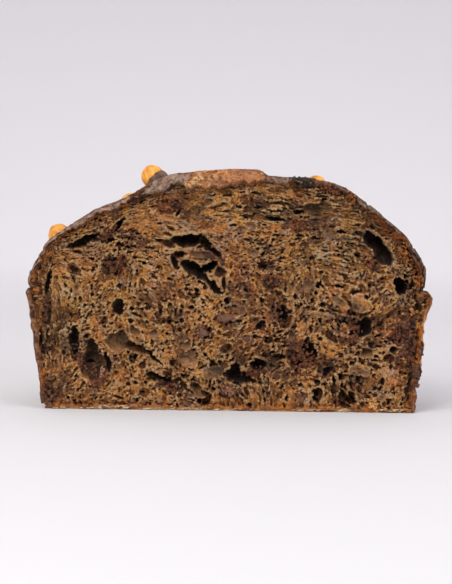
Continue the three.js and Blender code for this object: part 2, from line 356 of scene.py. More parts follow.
# The crumb: what the knife opened.
crumb = {
    "columns": 800,
    "rows": 480,
    "tiles": 2,  # the face is made as this many pieces each way
    "inset": 0.7,  # the crust's own edge covers this much all round
    "shoulder": 84,  # the grid's upper corners are this far out on the dome
    "rough": 1.1,  # how far the torn face strays from the plane of the knife
    # curling walls: spacing, height
    "web": [(11, 1.2), (5.6, 1.6), (3.2, 1.0), (1.7, 0.65), (1.1, 0.5), (0.8, 0.5)],
    # sizes of air cells: lattice spacing, share of places
    # filled, least and most radius as shares of the spacing
    "cells": [(8.6, 0.42, 0.24, 0.38), (4.4, 0.66, 0.28, 0.46), (2.6, 0.85, 0.3, 0.5),
              (1.6, 0.85, 0.32, 0.52)],
    # long cells: lattice spacing and seed
    "longCells": [(3.4, 171), (2.1, 181)],
    "squeeze": 12,  # cells flatten towards the crust, by about this much in all
    "squeezeReach": 9,
    "grains": 8100,  # torn grains of crumb that stand on the face
    "tints": {
        "crest": "c0843e", "wall": "855226", "highlight": "f8cc94", "inner": "7e5028",
        "innerShade": "5c3218", "floor": "442410", "deep": "24150c", "olive": "76502c",
        "greySkin": "7a5e4a", "paleSkin": "a87a48", "darkSkin": "4c3018", "melted": "8a4a28",
        "meltedShade": "2a150b", "baked": "cc7628", "bakedShade": "4e2713", "bare": "a8683e",
        "bareShade": "7e4526",
    },
    # the grey flecks are partly a painted sheen, the red and yellow ones the crumb's own tone
    # red, yellow and grey flecks: colour, share, size, seed, and where they are full
    "flecks": [("a5603a", 0.38, 6, 84, 0.8), ("b48a48", 0.35, 8, 86, 0.7), ("94806e", 0.6, 5, 88, 0.7)],
    # big air pockets: x, z, half length, half width, depth, turn in degrees, and how far it leans
    "pockets": [
        (-75, 86.3, 10.5, 2.2, 15, 20, 0.15), (-64, 88.6, 4.2, 2.2, 12, 15, 0),
        (-58.5, 95.8, 5.6, 2, 12, 45, 0), (-93.7, 77.5, 2.2, 1.4, 6, 75, 0),
        (-94.3, 66, 8, 2, 10, 82, 0), (-95.8, 47, 5, 1.4, 7, 92, 0), (-85, 78, 2, 1.4, 6, 60, 0),
        (-71, 73, 2.2, 1.7, 7, 60, 0), (-75.5, 73.5, 1.5, 1, 4, 0, 0), (-60, 77.6, 4.4, 1.5, 7, 10, 0),
        (-52.5, 72, 1.5, 1, 5, 0, 0), (-58, 64, 1.3, 1.2, 4, 0, 0), (-26.5, 103, 3, 1, 8, 60, 0),
        (-36.5, 97, 2.1, 0.8, 5, 10, 0), (-22, 88.2, 9.5, 3.8, 20, 5, 0.15), (-31, 86, 5.5, 3, 8, 0, 0),
        (-13, 86.2, 5, 2.6, 14, -48, 0.1), (-7, 82.6, 4.4, 1.8, 12, -42, 0),
        (-25.4, 81, 3.4, 2.1, 10, 30, 0), (-28, 77, 4.6, 1.7, 10, 105, 0),
        (-19, 72, 9.5, 3.7, 18, -36, 0.2), (-9, 64.4, 7, 2.4, 15, -36, 0.15),
        (-9.8, 74.6, 5, 3, 16, 28, 0.1), (-4.6, 72, 3.6, 3.2, 8, 95, 0), (-2.4, 66, 4, 1.7, 8, 95, 0),
        (23.5, 100, 6.2, 1.4, 10, -8, 0), (15.5, 98, 1.9, 1, 6, 0, 0), (24.5, 91.2, 2.9, 1.1, 7, 0, 0),
        (17, 86.5, 3, 1.3, 6, 0, 0), (25.5, 83.5, 1.3, 0.9, 4, 0, 0), (2, 96.5, 3, 1, 5, 0, 0),
        (36, 104, 4.2, 1.3, 9, 5, 0), (57.8, 93.5, 3.1, 1.5, 9, 5, 0), (36.5, 91.5, 2.9, 1.2, 6, 0, 0),
        (46, 93, 1.6, 1, 4, 80, 0), (76.5, 84.8, 11.8, 4.3, 24, -49, 0.25),
        (88.7, 66, 5.2, 3.6, 18, -62, 0), (43, 61.5, 1.9, 1.4, 5, 0, 0), (62.5, 74.5, 1.1, 0.8, 4, 0, 0),
        (41.5, 77, 1.7, 1, 5, 0, 0), (-80, 36.5, 6.8, 2.9, 12, 95, 0), (-79.8, 28.5, 5, 2.2, 9, 88, 0),
        (-72.2, 24, 2.6, 1.4, 16, -10, 0), (-62.6, 24, 6, 1.7, 13, 105, 0),
        (-47, 28.9, 8, 1.9, 14, -14, 0.3), (-38.5, 25.4, 5, 1.2, 12, -35, 0.2),
        (-58.5, 53, 4.6, 3.6, 13, 75, -0.2), (-59.5, 49.5, 3, 2.4, 6, 60, 0),
        (-35.6, 51, 3, 1.2, 8, 95, 0), (-48, 49, 4.1, 1, 7, -25, 0), (-88, 47, 2.3, 1.5, 6, 90, 0),
        (-90.5, 37.5, 1.1, 1, 4, 0, 0), (-96.6, 31, 3, 1.2, 6, 90, 0), (-94, 17, 1.7, 0.8, 5, 90, 0),
        (-82.7, 16.7, 0.8, 0.8, 4, 0, 0), (-82, 7.5, 1.3, 1, 5, 90, 0), (-78.5, 6, 1.8, 1, 5, 0, 0),
        (-57, 6, 4.1, 1.2, 7, -20, 0), (-40.5, 16, 3.5, 1.3, 7, 0, 0), (-62.5, 12.6, 3.5, 1, 6, 40, 0),
        (-36, 15.6, 8, 2.4, 12, -24, 0.2), (-31, 12.2, 7, 2.6, 6, -24, 0), (-12, 8, 3, 1.7, 9, -25, 0),
        (6, 16.6, 9.5, 3.6, 16, -20, 0.15), (3.2, 20.4, 5.4, 3.2, 13, 60, 0),
        (-3, 7.2, 3.5, 1.3, 6, 0, 0), (16, 23.6, 4.4, 3.5, 14, 0, 0), (17.5, 75, 3.4, 2.2, 9, 20, 0),
        (27.5, 28, 2.3, 2, 9, 20, 0), (24.5, 31, 1.5, 1.2, 5, 0, 0), (22.6, 37, 6, 1, 6, -62, 0),
        (17, 44, 3, 2.7, 9, 0, 0), (18, 48, 1.4, 1.2, 5, 0, 0), (28, 50.5, 6, 2.6, 12, 95, 0),
        (23.5, 54, 2, 1.4, 7, 90, 0), (31, 52, 2.5, 1.8, 6, 0, 0), (-10, 41.6, 2.2, 2.2, 9, 0, 0),
        (-12.4, 38, 2.8, 2, 8, 0, 0), (3.2, 36, 1.8, 0.8, 5, 0, 0), (-33.5, 56.5, 1.7, 1.2, 6, 0, 0),
        (-35.5, 50, 2.7, 1, 6, 80, 0), (-25.5, 43, 1.2, 1, 5, 0, 0), (5, 47, 2.5, 1.5, 7, 0, 0),
        (70, 44.4, 6.6, 4.4, 15, 60, 0), (64.5, 41, 3, 2, 8, 20, 0), (42.5, 31, 7.4, 3.3, 13, 108, 0),
        (37, 25.5, 3, 2, 9, 30, 0), (52.5, 20.5, 4, 2.4, 10, 25, 0), (82.5, 28, 2.1, 1.8, 7, 0, 0),
        (47.5, 38, 1.7, 1.5, 6, 0, 0), (43, 43.5, 2, 1.5, 6, 90, 0), (52.7, 58, 1.9, 1, 5, 55, 0),
        (81, 16, 2, 1.3, 7, 90, 0), (78, 12.5, 1.2, 1, 5, 0, 0), (60, 15.5, 1.3, 1, 5, 0, 0),
        (68, 13, 2, 1, 6, 0, 0), (36, 18, 2, 1, 5, 0, 0), (90, 42, 2.5, 1.7, 8, 90, 0),
        (86, 38, 2, 1, 6, 90, 0), (98.5, 55.5, 3.5, 2.4, 8, 85, 0), (39, 61, 1, 3, 5, 0, 0),
    ],
    # smooth, shallow, half-open cells with an olive skin:
    # x, z, half length, half width, turn, depth, greyness
    "skins": [
        (-70.8, 21.5, 9.6, 8.4, 88, 13, 0), (-71.3, 28.5, 8.2, 4.2, 86, 12, 0),
        (-66, 19, 5, 4, 60, 9, 1.1), (-58, 34.6, 6.8, 6, 0, 9, 0.1), (-50, 32, 8, 3.2, -24, 9, 0),
        (-20.8, 26.3, 5.4, 4.3, -40, 6, 0.5), (-48.1, 40.6, 5, 3, -25, 6, 0),
        (10, 96.4, 5.5, 2.6, 10, 4, 0.9), (22, 74, 3.4, 2.4, 20, 5, 0.9), (13, 82, 3.4, 2.6, 0, 5, 0.3),
        (45, 105.4, 10.5, 3, 0, 8, 0), (51, 93, 3.8, 2.8, 0, 5, 0.6), (-80, 63, 3.2, 2.2, 90, 5, 0.4),
        (-39, 39, 2.8, 2.3, 0, 5, 0.7), (-16.4, 10, 5.6, 3.2, -32, 8, 0.1),
        (-7.4, 19.3, 6.5, 4.4, 0, 4, 0.5), (-22, 33, 3.4, 2, 0, 5, 0.3), (71.5, 30, 4.2, 3, 0, 7, 0.6),
        (58, 57, 4.5, 2.4, -35, 5, 0.4), (45, 88, 4.4, 1.6, 0, 6, 0.2),
        (-14, 80.8, 8.5, 2.6, -8, 6, 0.3), (40, 65, 4, 3, 30, 4, 0.3), (33, 38, 3, 5, 0, 5, 0.3),
    ],
    # lumps of smooth dough that stand out of the face: x,
    # z, half length, half width, turn, height, greyness
    "knots": [
        (68.5, 56, 6.4, 5.8, 60, 1.5, 0.8), (69, 21.5, 6, 4, 15, 1.2, 0.4),
        (48, 50.5, 8.5, 2.2, -14, 1.6, 0.9),
    ],
    # the darker places under the dome and round the pockets and hollows are partly painted shade
    # broad lighter, darker, yellower and redder places: x, z, half length, half width, turn, gain, redness
    "places": [
        (-48, 102, 14, 7, 25, 1.4, 0.98), (60, 102, 14, 7, -30, 1.4, 0.93), (-25, 89, 15, 7, 0, 0.75, 1),
        (-45, 78, 10, 7, 0, 1.1, 1), (-86, 52, 15, 24, 0, 1.3, 0.92), (-9, 52, 16, 9, 0, 1.2, 0.98),
        (50, 76, 30, 12, 0, 1.17, 0.92), (50, 90, 22, 9, 0, 1.15, 0.95), (-40, 18, 16, 5, -15, 1.35, 1),
        (-17, 20, 9, 6, 0, 1.4, 0.97), (-19, 67, 9, 5, -35, 0.75, 1), (-31, 55, 8, 6, 0, 0.85, 1),
        (27, 102, 14, 5, 0, 0.8, 0.97), (8, 104, 26, 6, 0, 0.96, 0.93), (5, 105, 46, 12, 0, 0.8, 0.98),
        (-55, 84, 20, 12, 20, 0.88, 1), (-72, 18, 22, 18, 0, 1.14, 1), (52, 90, 26, 14, 0, 1.08, 1),
        (-70, 55, 22, 16, 0, 1.1, 1), (4, 112, 34, 5, 0, 1.05, 0.95), (87, 20, 9, 12, 0, 1.35, 1.02),
        (85, 42, 9, 9, 0, 1.15, 1.12), (48, 30, 7, 9, 0, 1.2, 1), (50, 6, 14, 6, 0, 1.2, 1),
        (-57, 58, 18, 16, 0, 1.25, 0.92), (-14, 40, 10, 8, 0, 1.12, 0.97),
        (-58, 17, 10, 8, 0, 1.25, 0.95), (-82, 16, 9, 14, 0, 1.2, 0.97), (8, 84, 10, 8, 0, 1.1, 0.95),
        (21, 46, 11, 14, 0, 0.78, 1.1), (-4, 20, 5, 4, 0, 0.8, 1.05), (5, 72, 9, 7, 0, 1.0, 1.1),
        (64, 47, 13, 9, 0, 0.82, 1.1), (38, 28, 9, 10, 20, 0.8, 1.12), (90, 36, 9, 20, 0, 0.9, 1.1),
        (22, 70, 9, 6, 0, 0.8, 1.05), (-32, 106, 12, 6, 10, 0.9, 1.12), (60, 24, 16, 8, 0, 0.92, 1.0),
        (-15, 78, 15, 12, -20, 0.72, 1.05), (45, 105.4, 10, 3.4, 0, 0.72, 1.0),
        (-56, 35, 8, 6, 0, 0.88, 1.0), (-70, 28, 7, 9, 0, 0.8, 1.0),
    ],
    # crumb soaked with melted chocolate: x, z, half length, half width, turn, strength
    "stains": [
        (-60, 74, 7.5, 4.8, 10, 1), (-94.5, 52, 9, 3, 90, 1), (-32, 106, 7.5, 4.5, 10, 0.8),
        (36.5, 97.5, 5, 4, 0, 0.8), (22, 66.5, 6, 4, 0, 0.7), (76, 77, 5, 5, 0, 0.7),
        (38, 30, 9, 9, 30, 0.9), (95.5, 35, 18, 4, 92, 0.85), (88, 40, 7, 5, 20, 0.9),
        (94, 52, 6, 3, 70, 0.7), (91, 24, 5, 4, 0, 0.6), (-67, 15.5, 6.5, 5, 30, 1),
        (-31, 12, 8, 3.4, -20, 1), (0.5, 9.5, 6.5, 3.2, 0, 1), (14, 20, 5, 3, 0, 0.9),
        (-45, 112, 7, 3, 25, 0.8), (51, 116.5, 8, 2.6, -15, 0.9), (62, 42, 8, 7, 30, 0.5),
        (27, 52, 6, 7, 0, 0.6), (-8, 80, 9, 3.5, -30, 0.6), (5, 64, 9, 5, -30, 0.5),
        (-62, 92, 5, 3.4, 30, 0.8), (-80, 31, 8, 2.6, 90, 0.8), (-97, 31, 3.5, 3, 0, 0.9),
        (-14, 41.5, 5, 5, 0, 0.5), (-74.5, 22, 3.4, 7.5, 10, 0.6), (-48, 90, 9, 5, -30, 0.5),
        (96, 22, 8, 3.5, 90, 0.9), (52, 22, 6, 5, 0, 0.6), (-20, 104, 8, 4, 20, 0.4),
        (12, 36, 8, 6, 0, 0.4), (83, 70, 5, 5, 0, 0.4), (-92, 8, 4, 7, 0, 0.5), (70, 84, 5, 3, -40, 0.5),
        (45, 45, 5, 4, 0, 0.4), (-30, 62, 7, 4, 30, 0.35),
    ],
}


def insideBlobs(x, z, blobs, seed):
    # for each blob a number that is 1 at its middle and 0 at its ragged edge: 1 - (u/length)^2
    # - (v/width)^2, with u and v along and across the blob after noise has shifted the point
    shiftX = 1.5 * noise((x, 0.0, z), 6, 4, seed)
    shiftZ = 1.5 * noise((x, 0.0, z), 6, 4, seed + 5)
    for blob in blobs:
        reach = min(1.0, blob[3] / 3.5)
        moved = x + shiftX * reach - blob[0], z + shiftZ * reach - blob[1]
        u, v = turned(*moved, math.radians(blob[4]))
        yield 1 - (u / blob[2]) ** 2 - (v / blob[3]) ** 2, blob


def throughPockets(x, z, depth, shiftX, shiftZ):
    # each big pocket is a leaning ellipsoid. A line into the loaf that is inside it goes on to its
    # far wall: the larger root of u^2 / length^2 + (v - lean y)^2 / width^2 + y^2 / depth^2 = 1
    inside = np.zeros_like(x)
    for pocketX, pocketZ, long, wide, deep, turn, lean in crumb["pockets"]:
        ragged = min(1.0, wide / 2.5)
        moved = x + shiftX * ragged - pocketX, z + shiftZ * ragged - pocketZ
        u, v = turned(*moved, math.radians(turn))
        square = (lean / wide) ** 2 + 1 / deep ** 2
        middle = lean * v / wide ** 2
        rest = (u / long) ** 2 + (v / wide) ** 2 - 1
        reach = middle ** 2 - square * rest
        root = np.sqrt(np.maximum(reach, 0))
        hit = (reach > 0) & (depth >= (middle - root) / square) & (depth < (middle + root) / square)
        depth = np.where(hit, (middle + root) / square, depth)
        inside = np.where(hit, 1.0, inside)
    return depth, inside


def throughCells(x, z, depth, spacing, share, least, most, room, seed):
    # each cube of a lattice may hold one ball of air. A line into the loaf
    # that is inside a ball goes on to the ball's far side: its middle's
    # depth + square root of (radius^2 - distance from the ball's own line^2)
    cell = np.floor(np.stack([x, depth, z]) / spacing).astype(np.int64)
    farthest = depth.copy()
    for step in np.ndindex(3, 3, 3):
        near = [cell[axis] + step[axis] - 1 for axis in range(3)]
        middle = [(near[axis] + 0.1 + 0.8 * cellNumber(near, seed + axis)) * spacing for axis in range(3)]
        radius = spacing * (least + (most - least) * cellNumber(near, seed + 3)) * room
        reach = radius ** 2 - (x - middle[0]) ** 2 - (z - middle[2]) ** 2
        half = np.sqrt(np.maximum(reach, 0))
        inside = (reach > 0) & (np.abs(depth - middle[1]) < half) & (cellNumber(near, seed + 4) < share)
        farthest = np.where(inside, np.maximum(farthest, middle[1] + half), farthest)
    return farthest


def leanBack(x, z):
    # the bald top of the dome broke away behind the knife: it
    # leans back by up to 8 mm over its last 11 mm of height
    return 8 * smooth(z, 114.5, 126.5) * smooth(x, -27, -21) * (1 - smooth(x, 14, 20))


def closedShell(name, fine, coarse, step, material, values, tint):
    # a fine grid of points that shows, and a coarse one behind it that has one point for
    # every step points of the fine one. Long polygons along the four edges join the two.
    rows, columns = fine.shape[:2]
    backRows, backColumns = coarse.shape[:2]
    first = rows * columns

    def loop(height, width, start):
        number = start + np.arange(height * width).reshape(height, width)
        return np.concatenate([number[0, :-1], number[:-1, -1], number[-1, :0:-1], number[:0:-1, 0]])

    fineLoop = loop(rows, columns, 0)
    coarseLoop = loop(backRows, backColumns, first)
    stretch = (np.arange(len(coarseLoop))[:, None] * step + np.arange(step, -1, -1)) % len(fineLoop)
    joins = np.concatenate([fineLoop[stretch], coarseLoop[:, None], np.roll(coarseLoop, -1)[:, None]], 1)
    faces = [gridFaces(rows, columns), gridFaces(backRows, backColumns, first)[:, ::-1], joins]
    points = np.concatenate([fine.reshape(-1, 3), coarse.reshape(-1, 3)])

    def withBack(value):  # the coarse side takes the fine side's values
        behind = value[::step, ::step].reshape(len(points) - first, -1)
        return np.concatenate([value.reshape(first, -1), behind])

    values = {key: withBack(value) for key, value in values.items()}
    makePiece(name, points, faces, material, values, withBack(tint))


def coons(bottom, top, left, right):
    # the surface that blends four edges: between bottom and
    # top, plus between left and right, less between the corners
    u = np.linspace(0, 1, len(bottom))[None, :, None]
    v = np.linspace(0, 1, len(left))[:, None, None]
    across = (1 - v) * bottom[None] + v * top[None]
    upward = (1 - u) * left[:, None] + u * right[:, None]
    corners = (1 - v) * ((1 - u) * bottom[0] + u * bottom[-1]) + v * ((1 - u) * top[0] + u * top[-1])
    return across + upward - corners


def insetPath(path, sign, distance):
    # a path moved sideways by a distance, then evened out so that its tight bends don't fold over
    along = np.gradient(path, axis=0)
    along = along / np.linalg.norm(along, axis=1)[:, None]
    moved = path + distance * sign * np.stack([along[:, 1], -along[:, 0]], 1)
    even = eased(moved, 4)
    even[0] = moved[0]
    even[-1] = (0, moved[-1, 1])
    return even


def evened(grid, reach):
    # each value becomes the mean of the square of values round it, out to reach steps each way
    for axis in (0, 1):
        padded = np.concatenate([np.repeat(np.take(grid, [0], axis), reach + 1, axis), grid,
                                 np.repeat(np.take(grid, [-1], axis), reach, axis)], axis)
        total = np.cumsum(padded, axis)
        size = grid.shape[axis]
        ahead = np.take(total, np.arange(size) + 2 * reach + 1, axis)
        grid = (ahead - np.take(total, np.arange(size), axis)) / (2 * reach + 1)
    return grid


def finer(grid, times):
    # a coarse grid's values on one that is this many times finer, along straight lines between them
    for axis in (0, 1):
        share = np.arange((grid.shape[axis] - 1) * times + 1) / times
        low = np.minimum(share.astype(int), grid.shape[axis] - 2)
        part = (share - low)[:, None] if axis == 0 else (share - low)[None]
        grid = np.take(grid, low, axis) * (1 - part) + np.take(grid, low + 1, axis) * part
    return grid


def crumbGrid():
    # the cut face as a patch between the underside, the two
    # sides up to the shoulders, and the top of the dome
    left = insetPath(leftOutline, 1, crumb["inset"])
    right = insetPath(rightOutline, -1, crumb["inset"])
    leftCorner, rightCorner = (np.argmax((np.abs(path[:, 0]) < crumb["shoulder"]) & (path[:, 1] > 80))
                               for path in (left, right))
    bottom = np.linspace(left[0], right[0], crumb["columns"] + 1)
    top = walk(np.vstack([left[leftCorner:], right[:rightCorner - 1:-1]]), crumb["columns"] + 1)
    leftSide = walk(left[:leftCorner + 1], crumb["rows"] + 1)
    rightSide = walk(right[:rightCorner + 1], crumb["rows"] + 1)
    grid = coons(bottom, top, leftSide, rightSide)
    return grid[..., 0], grid[..., 1]


def crumbDepth(x, z, edge, inwardX, inwardZ):
    # how far a line into the loaf at (x, z) goes before it meets dough, and what it meets
    face = (x, 0.0, z)
    shiftX = noise(face, 6, 4, 21) + 0.4 * softNoise(face, 1.1, 23)
    shiftZ = noise(face, 6, 4, 22) + 0.4 * softNoise(face, 1.1, 24)
    squeeze = crumb["squeeze"] * np.exp(-edge / crumb["squeezeReach"]) * smooth(z, 0, 22)
    squeeze = squeeze * (1 - 0.8 * (smooth(x, 50, 85) * (1 - smooth(z, 60, 80))))  # not at the right wall
    cellX = x - inwardX * squeeze + 4 * noise(face, 24, 2, 11) + 0.6 * shiftX
    cellZ = z - inwardZ * squeeze + 4 * noise(face, 24, 2, 12) + 0.6 * shiftZ
    cellZ = cellZ + 0.7 * np.maximum(z - 75, 0)

    skin, grey, shadeAndDarkerTone, stain, inPocket = np.zeros((5,) + x.shape)
    depth = crumb["rough"] * (1.2 + 1.2 * noise(face, 12, 4, 31))
    for layer, (size, deep) in enumerate(crumb["web"]):  # each layer is turned, so that no lattice shows
        angle = 0.55 + 1.15 * layer
        along, across = turned(cellX, cellZ, angle)
        ridge = np.abs(softNoise((along, 0.6 * layer, across), size, 35 + layer)) ** 0.8
        depth = depth + deep * (0.9 - ridge if layer > 2 else ridge)  # pebbles, or walls round hollows
    wrinkle = np.abs(noise(face, 6, 4, 37))
    for inside, blob in insideBlobs(x, z, crumb["skins"], 41):
        hollow = np.sqrt(np.maximum(inside, 0))
        upward = np.clip((z - blob[1]) / max(blob[2:4]), -1, 1)  # the hollows reach deepest at their tops
        bowl = blob[5] * hollow * (1 + 0.45 * upward) - (0.9 + 0.12 * blob[5]) * wrinkle
        depth = depth + (np.maximum(depth, bowl) - depth) * smooth(inside, 0, 0.08)
        skin = np.maximum(skin, smooth(inside, 0.05, 0.4))
        # painted shade towards the tops of the hollows, under their overhang
        shadeAndDarkerTone = np.maximum(shadeAndDarkerTone, smooth(inside, 0, 0.25) * smooth(upward + 0.4 * wrinkle, -0.3, 0.8))
        grey = np.where(inside > 0, blob[6], grey)
    for inside, blob in insideBlobs(x, z, crumb["knots"], 46):
        swelling = np.sqrt(np.maximum(inside, 0))
        depth = depth + (1.8 - blob[5] * swelling + 2.2 * wrinkle - depth) * 0.9 * smooth(inside, 0, 0.4)
        below = smooth((blob[1] - z) / blob[3], -0.6, 0.9)  # their undersides are in shade
        skin = np.maximum(skin, 0.6 * smooth(inside, 0.1, 0.5))
        # painted shade on the knots' undersides, over a darker tone on the whole knot
        shadeAndDarkerTone = np.maximum(shadeAndDarkerTone, (0.7 + 0.3 * below) * smooth(inside, 0.0, 0.3))
        grey = np.where(inside > 0, blob[6], grey)
    for inside, blob in insideBlobs(x, z, crumb["stains"], 51):
        stain = np.maximum(stain, blob[5] * smooth(inside, -0.15, 0.5))
    depth = depth + stain * np.maximum(1.3 * noise((cellX, 0.0, cellZ), 2.6, 3, 61) + 0.3, 0)

    openness = smooth(noise(face, 17, 2, 33), -0.9, 0.9)
    room = (1 - 0.85 * skin) * (1 - 0.35 * stain) * (0.84 + 0.32 * openness)
    flat = smooth(z, 86, 104) * (1 - smooth(np.abs(x - 8), 55, 75))  # long low cells under the dome
    tall = smooth(-x, 80, 92) * (1 - smooth(z, 70, 88))  # tall cells beside the left wall
    # how much the lattice is stretched across and upward,
    # the most radius, where, and what is added to the seed
    kinds = ((0.38, 1.05, 0.5, flat, 0), (1.1, 0.42, 0.48, tall, 5))
    for again in range(2):
        for family, (spacing, share, least, most) in enumerate(crumb["cells"]):
            space = room * (1 - 0.6 * inPocket) * (1 - 0.5 * np.maximum(flat, tall))
            depth = throughCells(cellX, cellZ, depth, spacing, share, least, most, space, 71 + 10 * family)
        for spacing, seed in crumb["longCells"]:
            for wide, high, most, where, more in kinds:
                cells = (spacing, 0.7, 0.3, most, room * where, seed + more)
                depth = throughCells(wide * cellX, high * cellZ, depth, *cells)
        depth, hit = throughPockets(x, z, depth, shiftX, shiftZ)
        inPocket = np.maximum(inPocket, hit)
    depth = depth * (0.12 + 0.88 * smooth(edge, 0.3, 3.2))
    return depth, skin, grey, shadeAndDarkerTone, stain, inPocket


def crumbTint(place, depth, hollow, edge, met):
    # pale crests partly lit by a painted highlight, brown walls, and floors darkened by painted shade,
    # then skins, chocolate, broad places and the baked layer at the edge
    x, z = place[0], place[2]
    skin, grey, shadeAndDarkerTone, stain, inPocket = met
    face = (x, 0.0, z)
    tints = crumb["tints"]
    fleck = noise(place, 3.2, 3, 81)
    tint = blend(tints["crest"], tints["wall"], smooth(fleck, -0.6, 0.7))
    # partly the crests' own paler colour, partly a painted highlight where the face stands highest
    tint = blend(tint, tints["highlight"], smooth(-hollow + 0.35 * fleck, 0.1, 0.9) * 0.75)
    for code, share, size, seed, high in crumb["flecks"]:
        tint = blend(tint, code, share * smooth(noise(place, size, 3, seed), 0.1, high))
    # darker where the face lies deeper: painted shade over a slow random tone
    swell = 0.9 + 0.96 * smooth(noise(face, 13, 3, 85) - 0.12 * (depth - 2), -1.0, 1.0)
    tint = tint * swell[..., None]
    # painted shade: the inner brown where the face lies deep, the dark floor in the hollows, and near
    # black deep in the pockets
    inner = blend(tints["inner"], tints["innerShade"], smooth(noise(face, 16, 3, 83), -0.5, 0.5))
    tint = blend(tint, inner, 0.7 * smooth(depth + 0.8 * hollow, 2.5, 5))
    tint = blend(tint, tints["floor"], 0.8 * smooth(hollow, 0.05, 1.2))
    tint = blend(tint, tints["deep"], 0.9 * smooth(depth + 2 * inPocket, 5, 11))

    olive = blend(tints["olive"], tints["greySkin"], np.clip(grey, 0, 1))
    olive = blend(olive, tints["paleSkin"], 0.7 * smooth(fleck, -0.2, 0.7))
    olive = blend(olive, tints["darkSkin"], 0.7 * smooth(noise(place, 1.8, 3, 89), 0.15, 0.8))
    # the skins, with painted shade at the hollows' tops and under the knots
    tint = blend(tint, olive * (1 - 0.75 * shadeAndDarkerTone)[..., None], 0.85 * skin)
    # melted chocolate darker at random and, as painted shade, in the hollows and deeper places
    meltedToneAndShade = smooth(fleck + 0.2 * depth + 0.6 * hollow, -0.5, 1.1)
    melted = blend(tints["melted"], tints["meltedShade"], meltedToneAndShade)
    tint = blend(tint, melted, 0.85 * smooth(stain + 0.3 * fleck, 0.1, 0.8))
    for inside, blob in insideBlobs(x, z, crumb["places"], 95):
        share = smooth(inside, 0, 0.9)
        redder = (1 + (blob[6] - 1) * share) ** 0.5
        gain = 1 + 1.25 * (blob[5] - 1) * share
        tint = tint * np.stack([gain * redder, gain / redder, gain / redder], -1)
    uneven = 1 + 0.34 * noise(face, 5, 3, 92) + 0.3 * noise(face, 22, 2, 93)
    tint = tint * uneven[..., None]
    tint = tint / np.maximum(tint.max(-1) / 0.6, 1)[..., None]

    # the baked layer is widest on the right shoulder and under the left of the dome
    bakedTo = 3.2 + 5.5 * smooth(x, 62, 96) * smooth(z, 58, 74) + 1.2 * noise(face, 9, 2, 87)
    bakedTo = bakedTo + 3.4 * smooth(-x, 44, 56) * smooth(z, 62, 80)
    under = 1 - smooth(edge / bakedTo, 0.45, 1.0)
    under = np.maximum(under, 0.8 - 0.8 * smooth(z + 1.5 * fleck, 1.5, 6))
    # the baked layer is darker at random and, as painted shade, in the hollows
    baked = blend(tints["baked"], tints["bakedShade"], smooth(fleck + 0.7 * hollow, -0.4, 0.7))
    baked = baked * (0.84 + 0.16 * smooth(z, 4, 12))[..., None]
    return blend(tint, baked, 0.8 * under)


def crumbBack(x, y, z):
    # behind, the crumb fills the loaf: y = square root of (radius at that height^2 - x^2)
    left, right = (np.interp(z, np.maximum.accumulate(path[:, 1]), np.abs(path[:, 0])) - crumb["inset"]
                   for path in (leftOutline, rightOutline))
    radius = np.where(x < 0, left, right)
    return np.stack([x, np.maximum(np.sqrt(np.maximum(radius ** 2 - x ** 2, 0)), y + 0.5), z], -1)


def makeCrumb():
    x, z = crumbGrid()
    edge, inwardX, inwardZ = (finer(value, 4) for value in fromOutline(x[::4, ::4], z[::4, ::4]))
    depth, *met = crumbDepth(x, z, edge, inwardX, inwardZ)
    skin, stain = met[0], met[3]
    lean = leanBack(x, z)
    bald = smooth(lean, 0.5, 3)
    y = depth * (1 - 0.8 * bald) + lean
    hollow = depth - evened(depth, 6)
    tints, place = crumb["tints"], (x, y, z)
    bare = blend(tints["bare"], tints["bareShade"], smooth(noise(place, 6, 4, 91), -0.6, 0.9))
    tint = blend(crumbTint(place, depth, hollow, edge, met), bare, bald)
    gloss = np.clip(0.2 * skin + 0.35 * stain, 0, 1)

    step = 16  # the back has one point for this many of the front's each way
    front = np.stack([x, y, z], -1)
    back = crumbBack(x[::step, ::step], y[::step, ::step], z[::step, ::step])
    high, wide = crumb["rows"] // crumb["tiles"], crumb["columns"] // crumb["tiles"]
    for up, across in np.ndindex(crumb["tiles"], crumb["tiles"]):
        part = np.s_[up * high:(up + 1) * high + 1, across * wide:(across + 1) * wide + 1]
        backPart = np.s_[up * high // step:(up + 1) * high // step + 1,
                         across * wide // step:(across + 1) * wide // step + 1]
        name = "loaf_crumb_" + ("low", "high")[up] + ("_left", "_right")[across]
        values = {"gloss": gloss[part], "smoothness": skin[part]}
        closedShell(name, front[part], back[backPart], step, crumbPaint, values, tint[part])
    ridges = np.clip(0.4 - hollow, 0, 2) * (1 - skin) * (1 - bald) * smooth(edge, 0.8, 2) * (depth < 6)
    makeGrains(front.reshape(-1, 3), tint.reshape(-1, 3), ridges.ravel())
    return front[::4, ::4].reshape(-1, 3)


def makeGrains(places, tints, weights):
    # small uneven balls that sit half sunk where the knife tore the crumb, more of them on its ridges
    chance = np.random.default_rng(501)
    count = crumb["grains"]
    chosen = chance.choice(len(places), count, p=weights / weights.sum())
    tilt, around, faces = ball(4, 6)
    grain = onBall(tilt, around) * chance.uniform(0.65, 1.3, (count, len(tilt), 1))
    grain = grain * chance.uniform(0.5, 1.5, (count, 1, 3))
    first = chance.normal(size=(count, 3))
    first = first / np.linalg.norm(first, axis=1)[:, None]
    second = np.cross(first, chance.normal(size=(count, 3)))
    second = second / np.linalg.norm(second, axis=1)[:, None]
    grain = grain @ np.stack([first, second, np.cross(first, second)], 1)
    size = 0.2 + 0.55 * chance.random(count) ** 2
    middle = places[chosen] + chance.uniform(-0.25, 0.25, (count, 3)) - np.array([0, 0.1, 0])
    points = (middle[:, None] + grain * size[:, None, None]).reshape(-1, 3)
    faces = copies(faces, len(tilt), count)
    paler = chance.uniform(0.8, 1.2, (count, 1))
    tint = np.repeat(tints[chosen] * paler, len(tilt), 0)
    none = np.zeros(len(points))
    makePiece("torn_grains", points, faces, crumbPaint, {"gloss": none, "smoothness": none}, tint)


